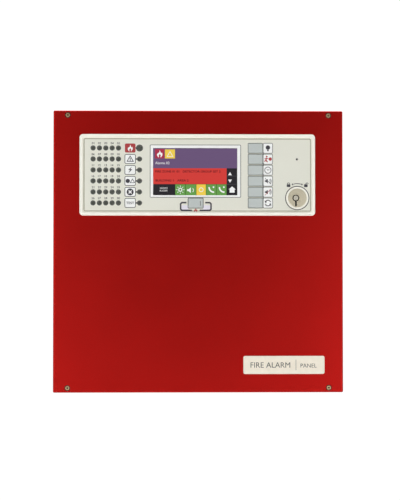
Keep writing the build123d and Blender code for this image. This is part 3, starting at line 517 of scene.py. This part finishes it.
def smooth(points, count=6):
    """A closed Catmull-Rom curve: each span blends its four nearest points with the cubic basis."""
    p = np.asarray(points, float)
    t = np.linspace(0, 1, count, endpoint=False)[None, :, None]
    a, b, c, d = (np.roll(p, shift, 0)[:, None, :] for shift in (1, 0, -1, -2))
    curve = 0.5 * (2 * b + (c - a) * t + (2 * a - 5 * b + 4 * c - d) * t**2 + (3 * b - a - 3 * c + d) * t**3)
    return curve.reshape(-1, 2)


FLAME = smooth([(0.0, 0.5), (0.13, 0.2), (0.22, 0.1), (0.32, 0.16), (0.38, -0.14), (0.2, -0.46), (0.1, -0.46),
                (0.14, -0.22), (0.0, -0.06), (-0.14, -0.26), (-0.1, -0.46), (-0.2, -0.46), (-0.38, -0.14),
                (-0.24, 0.1), (-0.06, 0.2)])
TRIANGLE = np.array([(0.0, 0.5), (0.55, -0.45), (-0.55, -0.45)])
print("flame points", len(FLAME))

# %% [markdown]
# ## Zone lamps
# Five columns of six lamps, each a smoked window in a dark printed ring, with its number above. The rings are
# nested circles round the lamp windows, and all thirty are one printed layer.

# %% Rings and numbers
COLUMN_PITCH, ROW_PITCH = 7.2, 12.5
ZONE_X = CONSOLE_X - 118.6 + COLUMN_PITCH * np.arange(5)
ROW_Z = CONSOLE_Z + 30.5 - ROW_PITCH * np.arange(6)
STATUS_X = CONSOLE_X - 65.9
# Outer and inner radius of each printed ring; the fire lamp at the top is larger.
ZONE_RING, STATUS_RING, FIRE_RING = (2.95, 2.0), (2.9, 2.06), (3.95, 2.96)
NUMBER_RISE, NUMBER_HEIGHT, NUMBER_STRETCH = 5.4, 2.5, 1.05
FILM_W, FILM_H = 257.6, 82.1
rings, zone_numbers = [], []
for row, z in enumerate(ROW_Z):
    for column, x in enumerate(ZONE_X):
        rings += [circle(x, z, radius) for radius in ZONE_RING]
        number = f"{row * len(ZONE_X) + column + 1:02d}"
        zone_numbers.append((number, x, z + NUMBER_RISE, NUMBER_HEIGHT, NUMBER_STRETCH))
    rings += [circle(STATUS_X, z, radius) for radius in (STATUS_RING if row else FIRE_RING)]
print_on_foil("lamp_rings", rings, "ink_grey")
# Painted shade: a thin beige line round the film's edge stands in for the shade on the frame's sloped inner
# wall.
edge = stroke(rounded(CONSOLE_X, CONSOLE_Z, FILM_W, FILM_H, 1.2), 1.1, closed=True)
print_on_foil("film_edge_painted_shade", edge, "rim_shade_paint")
words_on_foil("zone_numbers", zone_numbers, "ink_grey")
print("zone lamps", len(zone_numbers))

# %% [markdown]
# ## Status symbols
# Six tiles stand beside the status lamps: fire, warning, fault, disablement, supply and test. A short
# thick line ties each tile to its lamp. The tiles are white ink, the frames and symbols are printed over
# them.

# %% Tiles, links and symbols
TILE_X = CONSOLE_X - 76.5
TILE_W, TILE_H = 12.0, 10.3
tiles = [rounded(TILE_X, z, TILE_W, TILE_H, 1.5) for z in ROW_Z]
print_on_foil("status_tiles", tiles[1:], "ink_white")
print_on_foil("fire_tile", tiles[:1], "ink_red")
tile_frames = [side for tile in tiles[1:] for side in stroke(tile, 0.75, closed=True)]
print_on_foil("tile_frames", tile_frames, "ink_grey", 2)
links = [stroke([(TILE_X + TILE_W / 2 + 0.1, z), (STATUS_X - 2.6, z)], 1.5)[0] for z in ROW_Z]
print_on_foil("lamp_links", links, "ink_dark", 2)
print_on_foil("fire_symbol", [placed(FLAME, TILE_X, ROW_Z[0], 7.6)], "ink_white", 2)
symbols = stroke(placed(TRIANGLE, TILE_X, ROW_Z[1] + 0.2, 6.4), 0.8, closed=True)
symbols += [rounded(TILE_X, ROW_Z[1] + 0.1, 0.9, 2.0, 0.3), circle(TILE_X, ROW_Z[1] - 1.6, 0.5)]
bolt = [(0.28, 0.5), (-0.3, 0.02), (-0.02, 0.02), (-0.26, -0.5), (0.3, 0.1), (0.02, 0.1)]
symbols.append(placed(bolt, TILE_X, ROW_Z[2], 7.6))
symbols.append(circle(TILE_X - 2.7, ROW_Z[3], 2.4))
symbols += stroke(placed(TRIANGLE, TILE_X + 2.6, ROW_Z[3], 4.4), 0.6, closed=True)
symbols.append(circle(TILE_X, ROW_Z[4], 3.9))
print_on_foil("status_symbols", symbols, "ink_dark", 3)
arm = np.array([(0.5, 0.3), (0.3, 0.5), (0, 0.2)])
quarter = np.array([[0, 1], [-1, 0]])
cross = np.vstack([arm @ np.linalg.matrix_power(quarter, turn) for turn in range(4)])
print_on_foil("disabled_cross", [placed(cross, TILE_X, ROW_Z[4], 4.2)], "ink_white", 4)
words_on_foil("test_word", [("TEST", TILE_X, ROW_Z[5], 2.8, 1.1)], "ink_dark", 3)
print("status rows", len(ROW_Z))

# %% [markdown]
# ## Function keys and their labels
# Each soft key joins a white label at its right, and a thin dark line frames the pair. The keys
# themselves are solid parts that move, so the frame is printed round them on the fixed film.

# %% Labels beside the keys
KEY_X = middle_mm("key_1")[0]
LABEL_X = CONSOLE_X + 80.2
LABEL_W, LABEL_H = 10.8, 11.4
KEY_W, KEY_H = 16.3, 10.6
KEY_GAP = 0.25
WINDOW_W, WINDOW_H = KEY_W + 2 * KEY_GAP, KEY_H + 2 * KEY_GAP
RETURN_R = 3.2


def on_label(row, points):
    """Points given from the middle of a key's label."""
    return placed(points, LABEL_X, ROW_Z[row], 1)


key_labels = [rounded(LABEL_X, z, LABEL_W, LABEL_H, 1.4) for z in ROW_Z]
print_on_foil("key_labels", key_labels, "ink_white")
left, right = KEY_X - WINDOW_W / 2 - 0.3, LABEL_X - LABEL_W / 2 - 0.25
key_frames = []
for z, label in zip(ROW_Z, key_labels):
    key_frames += stroke(label, 0.65, closed=True)
    key_frames.append(rounded((left + right) / 2, z, right - left, 11.9, 1.2))
    key_frames.append(rounded(KEY_X, z, WINDOW_W, WINDOW_H, 1.0))
print_on_foil("key_frames", key_frames, "ink_grey", 2)
between = [(a + b) / 2 for a, b in zip(ROW_Z[:-1], ROW_Z[1:])]
key_joints = [rounded(LABEL_X - LABEL_W / 2, z, 0.9, 2.6, 0.3) for z in between]
print_on_foil("key_joints", key_joints, "ink_dark", 3)
marks = [circle(LABEL_X, ROW_Z[0] + 0.8, 2.5), rounded(LABEL_X, ROW_Z[0] - 2.6, 1.9, 1.5, 0.4)]
marks += stroke(arc(LABEL_X, ROW_Z[2], 3.6, 0, 351, 40), 0.7, closed=True)
marks += stroke(on_label(2, [(-1.4, 0.9), (0, 0), (1.8, 0.6)]), 0.6)
speaker = [(-0.42, 0.14), (-0.2, 0.14), (0.1, 0.4), (0.1, -0.4), (-0.2, -0.14), (-0.42, -0.14)]
for row in (3, 4):
    marks.append(placed(speaker, LABEL_X - 0.8, ROW_Z[row], 6.4))
    for radius in (2.2, 3.5):
        marks += stroke(arc(LABEL_X + 0.3, ROW_Z[row], radius, -50, 50, 10), 0.6)
for start in (20, 200):
    marks += stroke(arc(LABEL_X, ROW_Z[5], RETURN_R, start, start + 125, 14), 0.95)
    marks.append(arrowhead(LABEL_X, ROW_Z[5], RETURN_R, start + 120, 36, 1.6))
print_on_foil("key_symbols", marks, "ink_dark", 3)
leave = [circle(LABEL_X + 2.7, ROW_Z[1] + 0.2, 1.9), circle(LABEL_X - 1.3, ROW_Z[1] + 3.0, 1.0)]
leave += stroke(on_label(1, [(-1.5, 1.6), (-2.2, -0.6), (-0.6, -3.4)]), 1.3)
leave += stroke(on_label(4, [(-3.4, -3.6), (3.2, 3.4)]), 0.55)
print_on_foil("key_symbols_red", leave, "ink_red", 4)
limbs = stroke(on_label(1, [(-3.6, 0.4), (-2.9, 1.3)]), 0.9)
limbs += stroke(on_label(1, [(-1.2, 0.9), (0.3, 0.6)]), 0.9)
limbs += stroke(on_label(1, [(-2.6, -1.1), (-3.8, -2.9)]), 1.0)
print_on_foil("runner_limbs", limbs, "ink_red", 5)
print_on_foil("mute_line", stroke(on_label(3, [(-3.2, 3.4), (3.4, -3.4)]), 0.55), "ink_dark", 4)
print("function keys", len(ROW_Z))

# %% [markdown]
# ## The alarm key's bracket
# A dark open bracket with the flame at its foot frames the alarm key below the screen.

# %% Bracket and flame
AX, AZ = middle_mm("alarm_key")
FOOT_Z = CONSOLE_Z - 40.4
arm_line = [(-12.6, -31.6), (-17.8, -31.6), (-19.2, -33.0), (-19.2, -39.0), (-17.8, -40.4), (-6.2, -40.4)]
left_arm = placed(arm_line, CONSOLE_X, CONSOLE_Z, 1)
mirror_x = 2 * (CONSOLE_X - 1.9)
right_arm = [(mirror_x - x, z) for x, z in left_arm]
print_on_foil("bracket", stroke(left_arm, 1.8) + stroke(right_arm, 1.8), "ink_dark", 2)
lilac = [rounded(CONSOLE_X + x, CONSOLE_Z - 37.0, 8.0, 5.0, 1.2) for x in (-14.2, 10.4)]
print_on_foil("bracket_tint", lilac, "ink_lilac")
print_on_foil("bracket_flame", [placed(FLAME, AX, FOOT_Z + 0.2, 5.2)], "ink_red", 2)
outline = [rounded(AX, AZ, KEY_W + 1.7, KEY_H + 1.6, 1.3), rounded(AX, AZ, WINDOW_W, WINDOW_H, 1.0)]
print_on_foil("alarm_key_frame", outline, "ink_grey", 2)
KEY_FACE = front_mm("alarm_key")
tick = [rounded(AX + 5.4, AZ - 0.2, 0.9, 5.6, 0.3)]
layer("alarm_key_mark", tick, KEY_FACE - 0.02, KEY_FACE + 0.02, "alarm_key", "key_rubber", INKS["ink_line"])
print("bracket foot", round(FOOT_Z, 1))

# %% [markdown]
# ## The screen
# A thin dark line frames the screen on the film, with a white margin inside it. The picture is a set of
# lit patches just over the glass: a purple field, a red message field, a dark strip with arrows and a row
# of buttons. Each patch glows a little, as a backlit display does, and keeps the gloss of the glass.

# %% Frame and picture fields
SX, SZ = middle_mm("display_glass")
line = rounded(SX + 0.3, SZ + 0.6, 103.0, 59.6, 1.0)
margin = [rounded(SX + 0.3, SZ + 0.6, 102.6, 59.2, 0.9), rounded(SX, SZ, 95.8, 53.7, 0.02)]
print_on_foil("screen_margin", margin, "ink_white")
print_on_foil("screen_line", stroke(line, 0.75, closed=True), "ink_line", 2)
# Each level of the picture lies this many mm over the last.
PATCH = 0.02


def lit(name, outlines, colour, level=1):
    """A lit patch of the picture on the glass."""
    layer(name, outlines, GLASS, GLASS + PATCH * level, "cover", "screen_glass", INKS[colour])


def words_on_glass(name, words, colour, bold=0.0):
    """Words over the picture's patches."""
    lettering(name, words, GLASS, GLASS + PATCH * 3, "cover", "screen_glass", INKS[colour], bold)


def bar(left, right, low, high):
    """A rectangle from its sides, given from the console's centre."""
    x, z = on_console((left + right) / 2, (low + high) / 2)
    return rounded(x, z, right - left, high - low, 0.05, 2)


LEFT, RIGHT, TOP, FOOT = -50.4, 45.2, 30.4, -23.1
FIELD, ROW_TOP, SIDE = 7.6, -10.5, 33.2
lit("purple_field", [bar(LEFT, RIGHT, FIELD, TOP)], "lit_purple")
lit("message_field", [bar(LEFT, SIDE, ROW_TOP, FIELD)], "lit_red")
lit("dark_fields", [bar(SIDE, RIGHT, FOOT, FIELD), bar(LEFT, -25.6, FOOT, ROW_TOP)], "lit_black")
buttons = [(-25.3, -13.8), (-13.4, -1.6), (9.9, 21.3), (21.7, 33.0)]
lit("green_buttons", [bar(a, b, FOOT, ROW_TOP - 0.3) for a, b in buttons], "lit_green", 2)
lit("yellow_buttons", [bar(-1.2, 9.5, FOOT, ROW_TOP - 0.3), bar(-37.0, -25.6, 18.7, 29.0)], "lit_yellow", 2)
lit("alarm_button", [bar(-48.3, -37.8, 18.7, 29.4)], "lit_flame_red", 2)
rules = [bar(SIDE, RIGHT, -1.4, -1.1), bar(SIDE, RIGHT, ROW_TOP - 0.2, ROW_TOP + 0.1)]
lit("grey_rules", rules, "lit_grey", 2)

# %% Picture symbols and words
white = [placed(FLAME, *on_console(-43.0, 24.0), 8.2)]
white += [placed([(0, 0.5), (0.6, -0.5), (-0.6, -0.5)], *on_console(37.0, 1.5), 3.6)]
white += [placed([(0, -0.5), (-0.6, 0.5), (0.6, 0.5)], *on_console(37.0, -7.0), 3.6)]
roof = [(0, 0.5), (0.55, 0.05), (0.38, 0.05), (0.38, -0.45), (-0.38, -0.45), (-0.38, 0.05), (-0.55, 0.05)]
white += [placed(roof, *on_console(39.4, -16.8), 7.4)]
sun_x, sun_z = on_console(-19.5, -16.9)
white += [circle(sun_x, sun_z, 2.3), circle(sun_x, sun_z, 1.3)]
for turn in range(0, 360, 45):
    ray = [on_circle(sun_x, sun_z, reach, turn) for reach in (3.2, 4.7)]
    white += stroke(ray, 0.7)
for x in (15.6, 27.4):
    hx, hz = on_console(x, -17.2)
    white += stroke(arc(hx + 3.2, hz + 3.2, 5.6, 178, 272, 12), 1.7)
    white.append(circle(hx + 2.6, hz + 3.3, 1.0))
bell_x, bell_z = on_console(-8.4, -17.4)
white.append(placed(speaker, bell_x, bell_z, 8.0))
white += stroke(arc(bell_x + 0.8, bell_z, 3.0, -45, 45, 8), 0.7)
lit("picture_symbols", white, "lit_white", 3)
gold = stroke(placed(TRIANGLE, *on_console(-31.3, 23.6), 6.0), 0.6, closed=True)
gold += [circle(*on_console(4.2, -16.9), 2.6), circle(*on_console(4.2, -16.9), 1.9)]
lit("picture_symbols_gold", gold, "lit_white", 3)
pale = [("Alarms 02", *on_console(-39.9, 13.6), 2.9, 0.95), ("SILENCE", *on_console(-38.4, -15.0), 1.7, 1.0)]
pale.append(("BUZZER", *on_console(-38.4, -18.0), 1.7, 1.0))
words_on_glass("picture_words", pale, "lit_white")
dark = [("FIRE ZONE 01 01   DETECTOR GROUP SET 2", *on_console(-10.9, 3.9), 2.5, 1.13)]
dark.append(("BUILDING 1   AREA 2", *on_console(-28.9, -6.3), 2.5, 1.2))
words_on_glass("message_words", dark, "lit_dark_red", BOLD)
print("picture width mm", RIGHT - LEFT)

# %% [markdown]
# ## The key switch's printing
# A dark ring runs round the white collar. Above it an arc with an arrowhead at each end joins a closed
# padlock and an open one.

# %% Ring, arc and padlocks
LX, LZ = middle_mm("lock_barrel")
SWEEP_R = 16.4
print_on_foil("lock_ring", [circle(LX, LZ, radius, 64) for radius in (13.8, 12.95)], "ink_dark", 2)
sweep = stroke(arc(LX, LZ, SWEEP_R, 74, 106, 16), 0.8)
sweep += [arrowhead(LX, LZ, SWEEP_R, turn, ahead, 1.3) for turn, ahead in ((73, -6), (107, 6))]
for side in (-1, 1):
    px, pz = LX + side * 9.9, LZ + 15.0
    sweep.append(rounded(px, pz - 0.9, 4.0, 3.1, 0.4))
    # The open padlock's shackle is shifted to one side.
    sweep += stroke(arc(px + (1.3 if side > 0 else 0), pz + 0.9, 1.35, 0, 180, 8), 0.7)
print_on_foil("lock_symbols", sweep, "ink_dark", 3)
sounder = [circle(*on_console(113.3, 18.0), radius) for radius in (1.25, 0.92)]
print_on_foil("sounder_ring", sounder, "ink_dark", 2)
# Painted shadow: near-black patches on the floors of the plug's ring groove and keyway slot stand in for the
# shade in those recesses.
groove = FOIL - 0.5
PX = LX - 1.6
for name, outlines, body in (
    ("lock_groove_floor", [circle(PX, LZ, 3.86), circle(PX, LZ, 2.74)], "lock_plug"),
    ("lock_keyway_floor", [rounded(PX, LZ - 7.5, 1.9, 3.8, 0.1)], "cover"),
    ("lock_plug_keyway", [rounded(PX, LZ - 4.6, 1.9, 1.4, 0.05)], "lock_plug"),
):
    layer(name, outlines, groove, groove + 0.05, body, "lock_metal", INKS["shadow_paint_black"])
pin_metal = finish("polished_nickel", "F6F1E2", "ECE6D4", 0.8, 0.2, 0.002, Metallic=0.5)
layer("lock_pin_face", [circle(PX, LZ, 2.45)], FOIL + 0.4, FOIL + 0.46, "lock_plug", "lock_metal", pin_metal)
print("lock centre", round(LX, 1), round(LZ, 1))

# %% [markdown]
# ## Turned rings
# Collars, can tops and the painted shadow rings in the screw sinks are turned shapes: one closed outline of
# radius and depth, carried round an axis that runs straight out from the wall. The points come from one
# array product, the faces from one grid of indices.

# %% A closed outline carried round an axis


def turned(name, outline, centres, body, material, count=48):
    """Each outline point (r, d) goes to (x + r cos a, -d, z + r sin a) at equal angles, for each centre."""
    r, d = np.asarray(outline, float).T
    a = np.linspace(0, 2 * np.pi, count, endpoint=False)[:, None]
    ring = np.stack([r * np.cos(a), -d + 0 * a, r * np.sin(a)], axis=2).reshape(-1, 3)
    places = np.array([(x, 0.0, z) for x, z in centres])
    corners = (places[:, None, :] + ring[None, :, :]).reshape(-1, 3) * MM
    turn, step = np.meshgrid(np.arange(count), np.arange(len(r)), indexing="ij")
    after, beyond = (turn + 1) % count, (step + 1) % len(r)
    pairs = [(turn, step), (after, step), (after, beyond), (turn, beyond)]
    quads = np.stack([a_turn * len(r) + a_step for a_turn, a_step in pairs], 2)
    faces = (quads.reshape(1, -1, 4) + np.arange(len(centres))[:, None, None] * count * len(r)).reshape(-1, 4)
    mesh = bpy.data.meshes.new(name)
    mesh.from_pydata(corners.tolist(), [], faces.tolist())
    mesh.shade_smooth()
    mesh.set_sharp_from_angle(angle=math.radians(35))
    own(mesh, name, body, material)


# %% [markdown]
# ## The cover screws' sinks
# Each captive screw sits in a conical sink in the cover. A near-black ring of painted shadow lines the
# cone round the head, and a near-black disc of painted shadow fills the driver recess.

# %% Painted shadow in the screw sinks and recesses
HEAD, COVER = front_mm("cover_screws"), front_mm("front_cover")
HEAD_RADIUS = 2.4
head_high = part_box("cover_screws")[1]
screw_x, screw_z = head_high[0] / MM - HEAD_RADIUS, head_high[2] / MM - HEAD_RADIUS
screws = [(x, z) for x in (-screw_x, screw_x) for z in (-screw_z, screw_z)]
# Painted shadow: a near-black cone lining each sink round the screw head, and near-black discs in the driver
# recesses.
shadow_cone = [(2.43, COVER - 0.78), (3.24, COVER - 0.04), (3.12, COVER), (2.43, COVER - 0.62)]
turned("screw_sink_shadow_ring", shadow_cone, screws, "cover", INKS["shadow_paint_black"])
recess_shadow_discs = [circle(x, z, 0.95, 16) for x, z in screws]
layer("screw_recess_shadow", recess_shadow_discs, HEAD - 0.2, HEAD - 0.15, "cover", "bronze_steel", INKS["shadow_paint_black"])
print("screws at", round(screw_x, 1), round(screw_z, 1), "heads at depth", round(HEAD, 2))

# %% [markdown]
# ## The nameplate
# The plate carries plain words for what the panel is, in an even line, with a thin rule between them.

# %% Nameplate words
NX, NZ = middle_mm("nameplate")
PLATE = front_mm("nameplate")
depths = (PLATE - 0.01, PLATE + 0.05)
plate_words = [("FIRE ALARM", NX - 15.5, NZ, 6.0, 1.0), ("PANEL", NX + 28.0, NZ - 0.7, 4.4, 1.0)]
lettering("nameplate_words", plate_words, *depths, "cover", "label_white", INKS["ink_grey"])
rule = [rounded(NX + 13.6, NZ, 0.5, 12.0, 0.2)]
layer("nameplate_rule", rule, *depths, "cover", "label_white", INKS["ink_line"])
print("plate depth", round(PLATE, 2))

# %% [markdown]
# ## The main board's detail
# Under the cover the board shows chip legs, solder pads and white silk-screen outlines round its parts.
# Legs and pads repeat hundreds of times, so each is a plain four-cornered patch in one layer.

# %% Chip legs, pads and outlines


def board_layer(name, outlines, colour, slot, thick=0.05):
    """A thin layer on the main board."""
    layer(name, outlines, BOARD, BOARD + thick, "cabinet", slot, INKS[colour])


def legs(x, z, width, height, pitch, sides):
    """Rows of flat legs along a chip's sides."""
    rows = []
    along_x = np.arange(-width / 2 + pitch, width / 2 - pitch / 2, pitch)
    along_z = np.arange(-height / 2 + pitch, height / 2 - pitch / 2, pitch)
    thin, long = pitch * 0.45, 1.9
    for side in (-1, 1):
        across, up = x + side * (width / 2 + 0.9), z + side * (height / 2 + 0.9)
        if "z" in sides:
            rows += [rounded(x + step, up, thin, long, 0.05, 2) for step in along_x]
        if "x" in sides:
            rows += [rounded(across, z + step, long, thin, 0.05, 2) for step in along_z]
    return rows


# Chips are given by their middle and size. Terminal blocks, drivers, gates and relays share one spacing.
PROCESSOR = (-98, 66, 24, 24)
MEMORIES = [(-128, 62, 14, 22), (-128, 92, 14, 22), (-68, 88, 14, 22)]
BLOCK_STEP, POLE_STEP, LEG_PITCH = 23.5, 5, 1.27
DRIVERS = [(-134 + index * BLOCK_STEP, 107) for index in range(3)]
GATES = [(-122 + index * BLOCK_STEP, 20) for index in range(4)]
PILLARS = ((-150, 124), (46, 124), (-150, -28), (46, -28))
# The share of lattice places that hold a chip resistor.
FILL = 0.26
tin = legs(*PROCESSOR, 1.0, "xz")
for chip in MEMORIES:
    tin += legs(*chip, LEG_PITCH, "x")
for x, z in DRIVERS:
    tin += legs(x, z, 10.5, 7.5, LEG_PITCH, "x")
for x, z in GATES:
    tin += legs(x, z, 7.5, 10.5, LEG_PITCH, "x")
board_layer("chip_legs", tin, "pad_tin", "plated_brass", 0.35)
chance = np.random.default_rng(7)
grid_x, grid_z = np.meshgrid(np.arange(-149, -45, 4.4), np.arange(3, 112, 3.2))
lattice = np.column_stack([grid_x.ravel(), grid_z.ravel()])
chip_places = lattice[chance.random(len(lattice)) < FILL]
busy = [(-98, 66, 16, 16), (-76, 40, 20, 14), (-140, 34, 12, 14), (-48, 108, 6, 6)]
busy += [(x, z, 11, 14) for x, z, _, _ in MEMORIES]
busy += [(x, z, 9, 7) for x, z in DRIVERS] + [(x, z, 8, 8) for x, z in GATES]
free = [p for p in chip_places if all(abs(p[0] - x) > w or abs(p[1] - z) > h for x, z, w, h in busy)]
bodies_small = [rounded(x, z, 2.0, 1.25, 0.1, 2) for x, z in free]
ends = [rounded(x + side * 1.25, z, 0.5, 1.35, 0.05, 2) for x, z in free for side in (-1, 1)]
layer("chip_resistors", bodies_small, BOARD, BOARD + 0.55, "cabinet", "chip_epoxy", finishes["chip_epoxy"])
board_layer("resistor_ends", ends, "pad_tin", "plated_brass", 0.5)
silk = []
for x, z, w, h in ((-98, 66, 28.2, 28.2), *((x, z, 19, 22) for x, z, _, _ in MEMORIES), (-76, 40, 35, 22.6),
                   (-140, 36, 17, 22)):
    silk += stroke(rounded(x, z, w, h, 0.6, 2), 0.3, closed=True)
silk += [circle(x, z, radius) for radius in (4.2, 3.8) for x, z in PILLARS]
board_layer("silk_outlines", silk, "ink_silk", "label_white", 0.03)
for name, tall, chips in (("processor_print", 2.6, [PROCESSOR]), ("memory_print", 1.8, MEMORIES)):
    print_marks = [circle(x - w * 0.38, z + h * 0.38, 0.8, 16) for x, z, w, h in chips]
    for x, z, w, h in chips:
        print_marks += [rounded(x, z + step, w * 0.5, 0.7, 0.1, 2) for step in (-2.4, 0, 2.4)]
    top = BOARD + tall
    layer(name, print_marks, top, top + 0.04, "cabinet", "chip_epoxy", INKS["ink_faint"])
pole = np.arange(32)
pole_x = -134 + BLOCK_STEP * (pole // 4) + POLE_STEP * (pole % 4) - 7.5
pole_numbers = [(str(index + 1), x, 114.2, 1.9, 1.0) for index, x in enumerate(pole_x)]
lettering("terminal_numbers", pole_numbers, BOARD, BOARD + 0.04, "cabinet", "label_white", INKS["ink_silk"])
RELAY = front_mm("relays")
relay_x = -133 + BLOCK_STEP * np.arange(4)
lines = [rounded(x, -8 + step, 10.5, 0.7, 0.1, 2) for x in relay_x for step in (-3, 0, 3)]
layer("relay_print", lines, RELAY, RELAY + 0.04, "cabinet", "relay_black", INKS["ink_silk"])
VENT = plus(0.06)
for name, tall, cans in (
    ("large_can_tops", 25, [(34, 62, 8), (34, 82, 8)]),
    ("middle_can_tops", 20, [(14, 62, 6.3), (14, 78, 6.3)]),
    ("small_can_top", 12, [(-4, 6, 5)]),
):
    tops = [circle(x, z, r * 0.8) for x, z, r in cans] + [placed(VENT, x, z, r * 1.1) for x, z, r in cans]
    layer(name, tops, BOARD + tall, BOARD + tall + 0.08, "cabinet", "socket_shell", finishes["socket_shell"])
REAR = -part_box("console_board")[1][1] / MM
pins = [(x + side * 1.27, z) for x in [*ZONE_X, STATUS_X] for z in ROW_Z for side in (-1, 1)]
solder = [circle(x, z, 0.75, 16) for x, z in pins]
layer("lamp_solder", solder, REAR - 0.3, REAR, "cover", "plated_brass", INKS["pad_tin"])
print("small parts", len(free), "legs", len(tin))

# %% [markdown]
# ## Relays, batteries and supply labels
# Standby batteries carry a plain label band and a plus and a minus beside their tabs. The power supply
# has a blank rating label. No maker's words are printed.

# %% Labels inside the cabinet
CASE, LID, SUPPLY = (front_mm(name) for name in ("battery_cases", "battery_lids", "psu_cover"))
case_z, lid_z = middle_mm("battery_cases")[1], middle_mm("battery_lids")[1]
SUPPLY_X, SUPPLY_Z = 110, 114
# The thickness of a label, and of a label with its ink.
LABEL, LABEL_INK = 0.08, 0.11
labels, colour_bands, signs = [], [], []
for x in (-77.5, 77.5):
    labels.append(rounded(x, case_z + 2, 118, 50, 3))
    colour_bands.append(rounded(x, case_z + 20, 112, 9, 1.5))
    colour_bands.append(rounded(x, case_z - 18, 112, 2.2, 0.5))
    signs.append(("12 V   7 Ah", x, case_z + 4, 9.0, 1.0))
layer("battery_labels", labels, CASE, CASE + LABEL, "cabinet", "label_white", INKS["ink_white"])
layer("battery_bands", colour_bands, CASE, CASE + LABEL_INK, "cabinet", "label_white", INKS["ink_red"])
lettering("battery_words", signs, CASE, CASE + LABEL_INK, "cabinet", "label_white", INKS["ink_dark"])
poles = []
for x, positive in ((-141, False), (-14, True), (14, False), (141, True)):
    minus = rounded(x, lid_z, 5.0, 1.1, 0.1, 2)
    poles.append(placed(plus(0.11), x, lid_z, 5.0) if positive else minus)
layer("pole_signs", poles, LID, LID + 0.06, "cabinet", "battery_lid", INKS["ink_silk"])
plate = [rounded(SUPPLY_X, SUPPLY_Z, 74, 12, 1.5)]
layer("supply_label", plate, SUPPLY, SUPPLY + LABEL, "cabinet", "label_white", INKS["ink_white"])
lines = [rounded(SUPPLY_X, SUPPLY_Z + step, 64, 0.8, 0.1, 2) for step in (-3, 0, 3)]
layer("supply_label_lines", lines, SUPPLY, SUPPLY + LABEL_INK, "cabinet", "label_white", INKS["ink_line"])
print("labels", len(labels) + 1)

# %% [markdown]
# ## Floor, light and camera
# The panel hangs in front of an even white surround, over a pale floor well below it. The world is white
# to the camera only: its light on the panel is dim, as in a studio whose far side is dark, so that the
# red stays deep. Large soft lights at the left, the right and below brighten the cover towards those
# edges.

# %% Floor and white surround
floor_mesh = bpy.data.meshes.new("floor")
half, drop = 1.4, -0.62
square = [(-half, -half, drop), (half, -half, drop), (half, half, drop), (-half, half, drop)]
floor_mesh.from_pydata(square, [], [[0, 1, 2, 3]])
floor = bpy.data.objects.new("floor", floor_mesh)
bpy.context.scene.collection.objects.link(floor)
floor_mesh.materials.append(finish("pale_floor_paint", "F4F4F2", "F1F1EF", 4.0, 0.6, 0.0))
world = bpy.data.worlds.new("studio")
bpy.context.scene.world = world
world.use_nodes = True
tree = world.node_tree
tree.nodes.clear()
seen = add(tree, "ShaderNodeLightPath").outputs["Is Camera Ray"]
dim = add(tree, "ShaderNodeBackground", {"Color": (1, 1, 1, 1), "Strength": 0.16})
bright = add(tree, "ShaderNodeBackground", {"Color": (1, 1, 1, 1), "Strength": 1.05})
both = add(tree, "ShaderNodeMixShader", {0: seen, 1: dim.outputs[0], 2: bright.outputs[0]})
add(tree, "ShaderNodeOutputWorld", {"Surface": both.outputs[0]})

# %% Soft lights


def soft_light(name, place, aim, width, height, power):
    """A rectangular light at place, turned to face aim."""
    data = bpy.data.lights.new(name, "AREA")
    data.shape = "RECTANGLE"
    data.size, data.size_y, data.energy = width, height, power
    lamp = bpy.data.objects.new(name, data)
    bpy.context.scene.collection.objects.link(lamp)
    lamp.location = place
    lamp.visible_camera = False
    away = np.array(aim) - np.array(place)
    yaw = math.atan2(away[1], away[0]) - math.pi / 2
    pitch = math.atan2(away[2], math.hypot(away[0], away[1]))
    lamp.rotation_euler = (math.pi / 2 + pitch, 0, yaw)


soft_light("left_light", (-1.05, -1.5, -0.2), (0, 0, 0), 1.1, 1.6, 12.5)
soft_light("right_light", (1.0, -1.5, -0.45), (0, 0, -0.05), 1.1, 1.6, 12.5)
soft_light("low_light", (0.1, -1.6, -0.9), (0, 0, -0.1), 1.7, 0.6, 19)
soft_light("top_light", (0, -0.7, 1.6), (0, 0, 0.1), 1.6, 1.2, 8)
soft_light("floor_light", (0, 0.9, 2.0), (0, 1.0, 0), 2.2, 2.2, 40)
for side in (-1, 1):
    soft_light("side_light", (side * 1.9, 0.15, 0.35), (0, 0, 0), 1.0, 1.2, 6)
soft_light("back_light", (0.2, 1.7, 0.8), (0, 0, 0), 1.8, 1.2, 8)
bpy.context.scene.view_settings.view_transform = "Standard"

# %% Camera
# The frontal view stands 1.3 m away, a little left of and below the panel's middle.
camera_data = bpy.data.cameras.new("camera")
camera = bpy.data.objects.new("camera", camera_data)
bpy.context.scene.collection.objects.link(camera)
bpy.context.scene.camera = camera
front_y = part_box("front_cover")[0][1]
reach = 1.3
# A lens of length sensor * distance / width sees that width, in metres, at that distance.
SENSOR, SEEN_WIDTH = 36, 0.569
aim = np.array([0.0019, front_y, 0.0015])
spot = aim + np.array([-0.024, -reach, -0.024])
camera.location = spot
gaze = aim - spot
camera.rotation_euler = (math.pi / 2 + math.atan2(gaze[2], reach), 0, -math.atan2(gaze[0], reach))
camera_data.lens = SENSOR * reach / SEEN_WIDTH
camera_data.clip_end = 20
print("lens", round(camera_data.lens, 1))
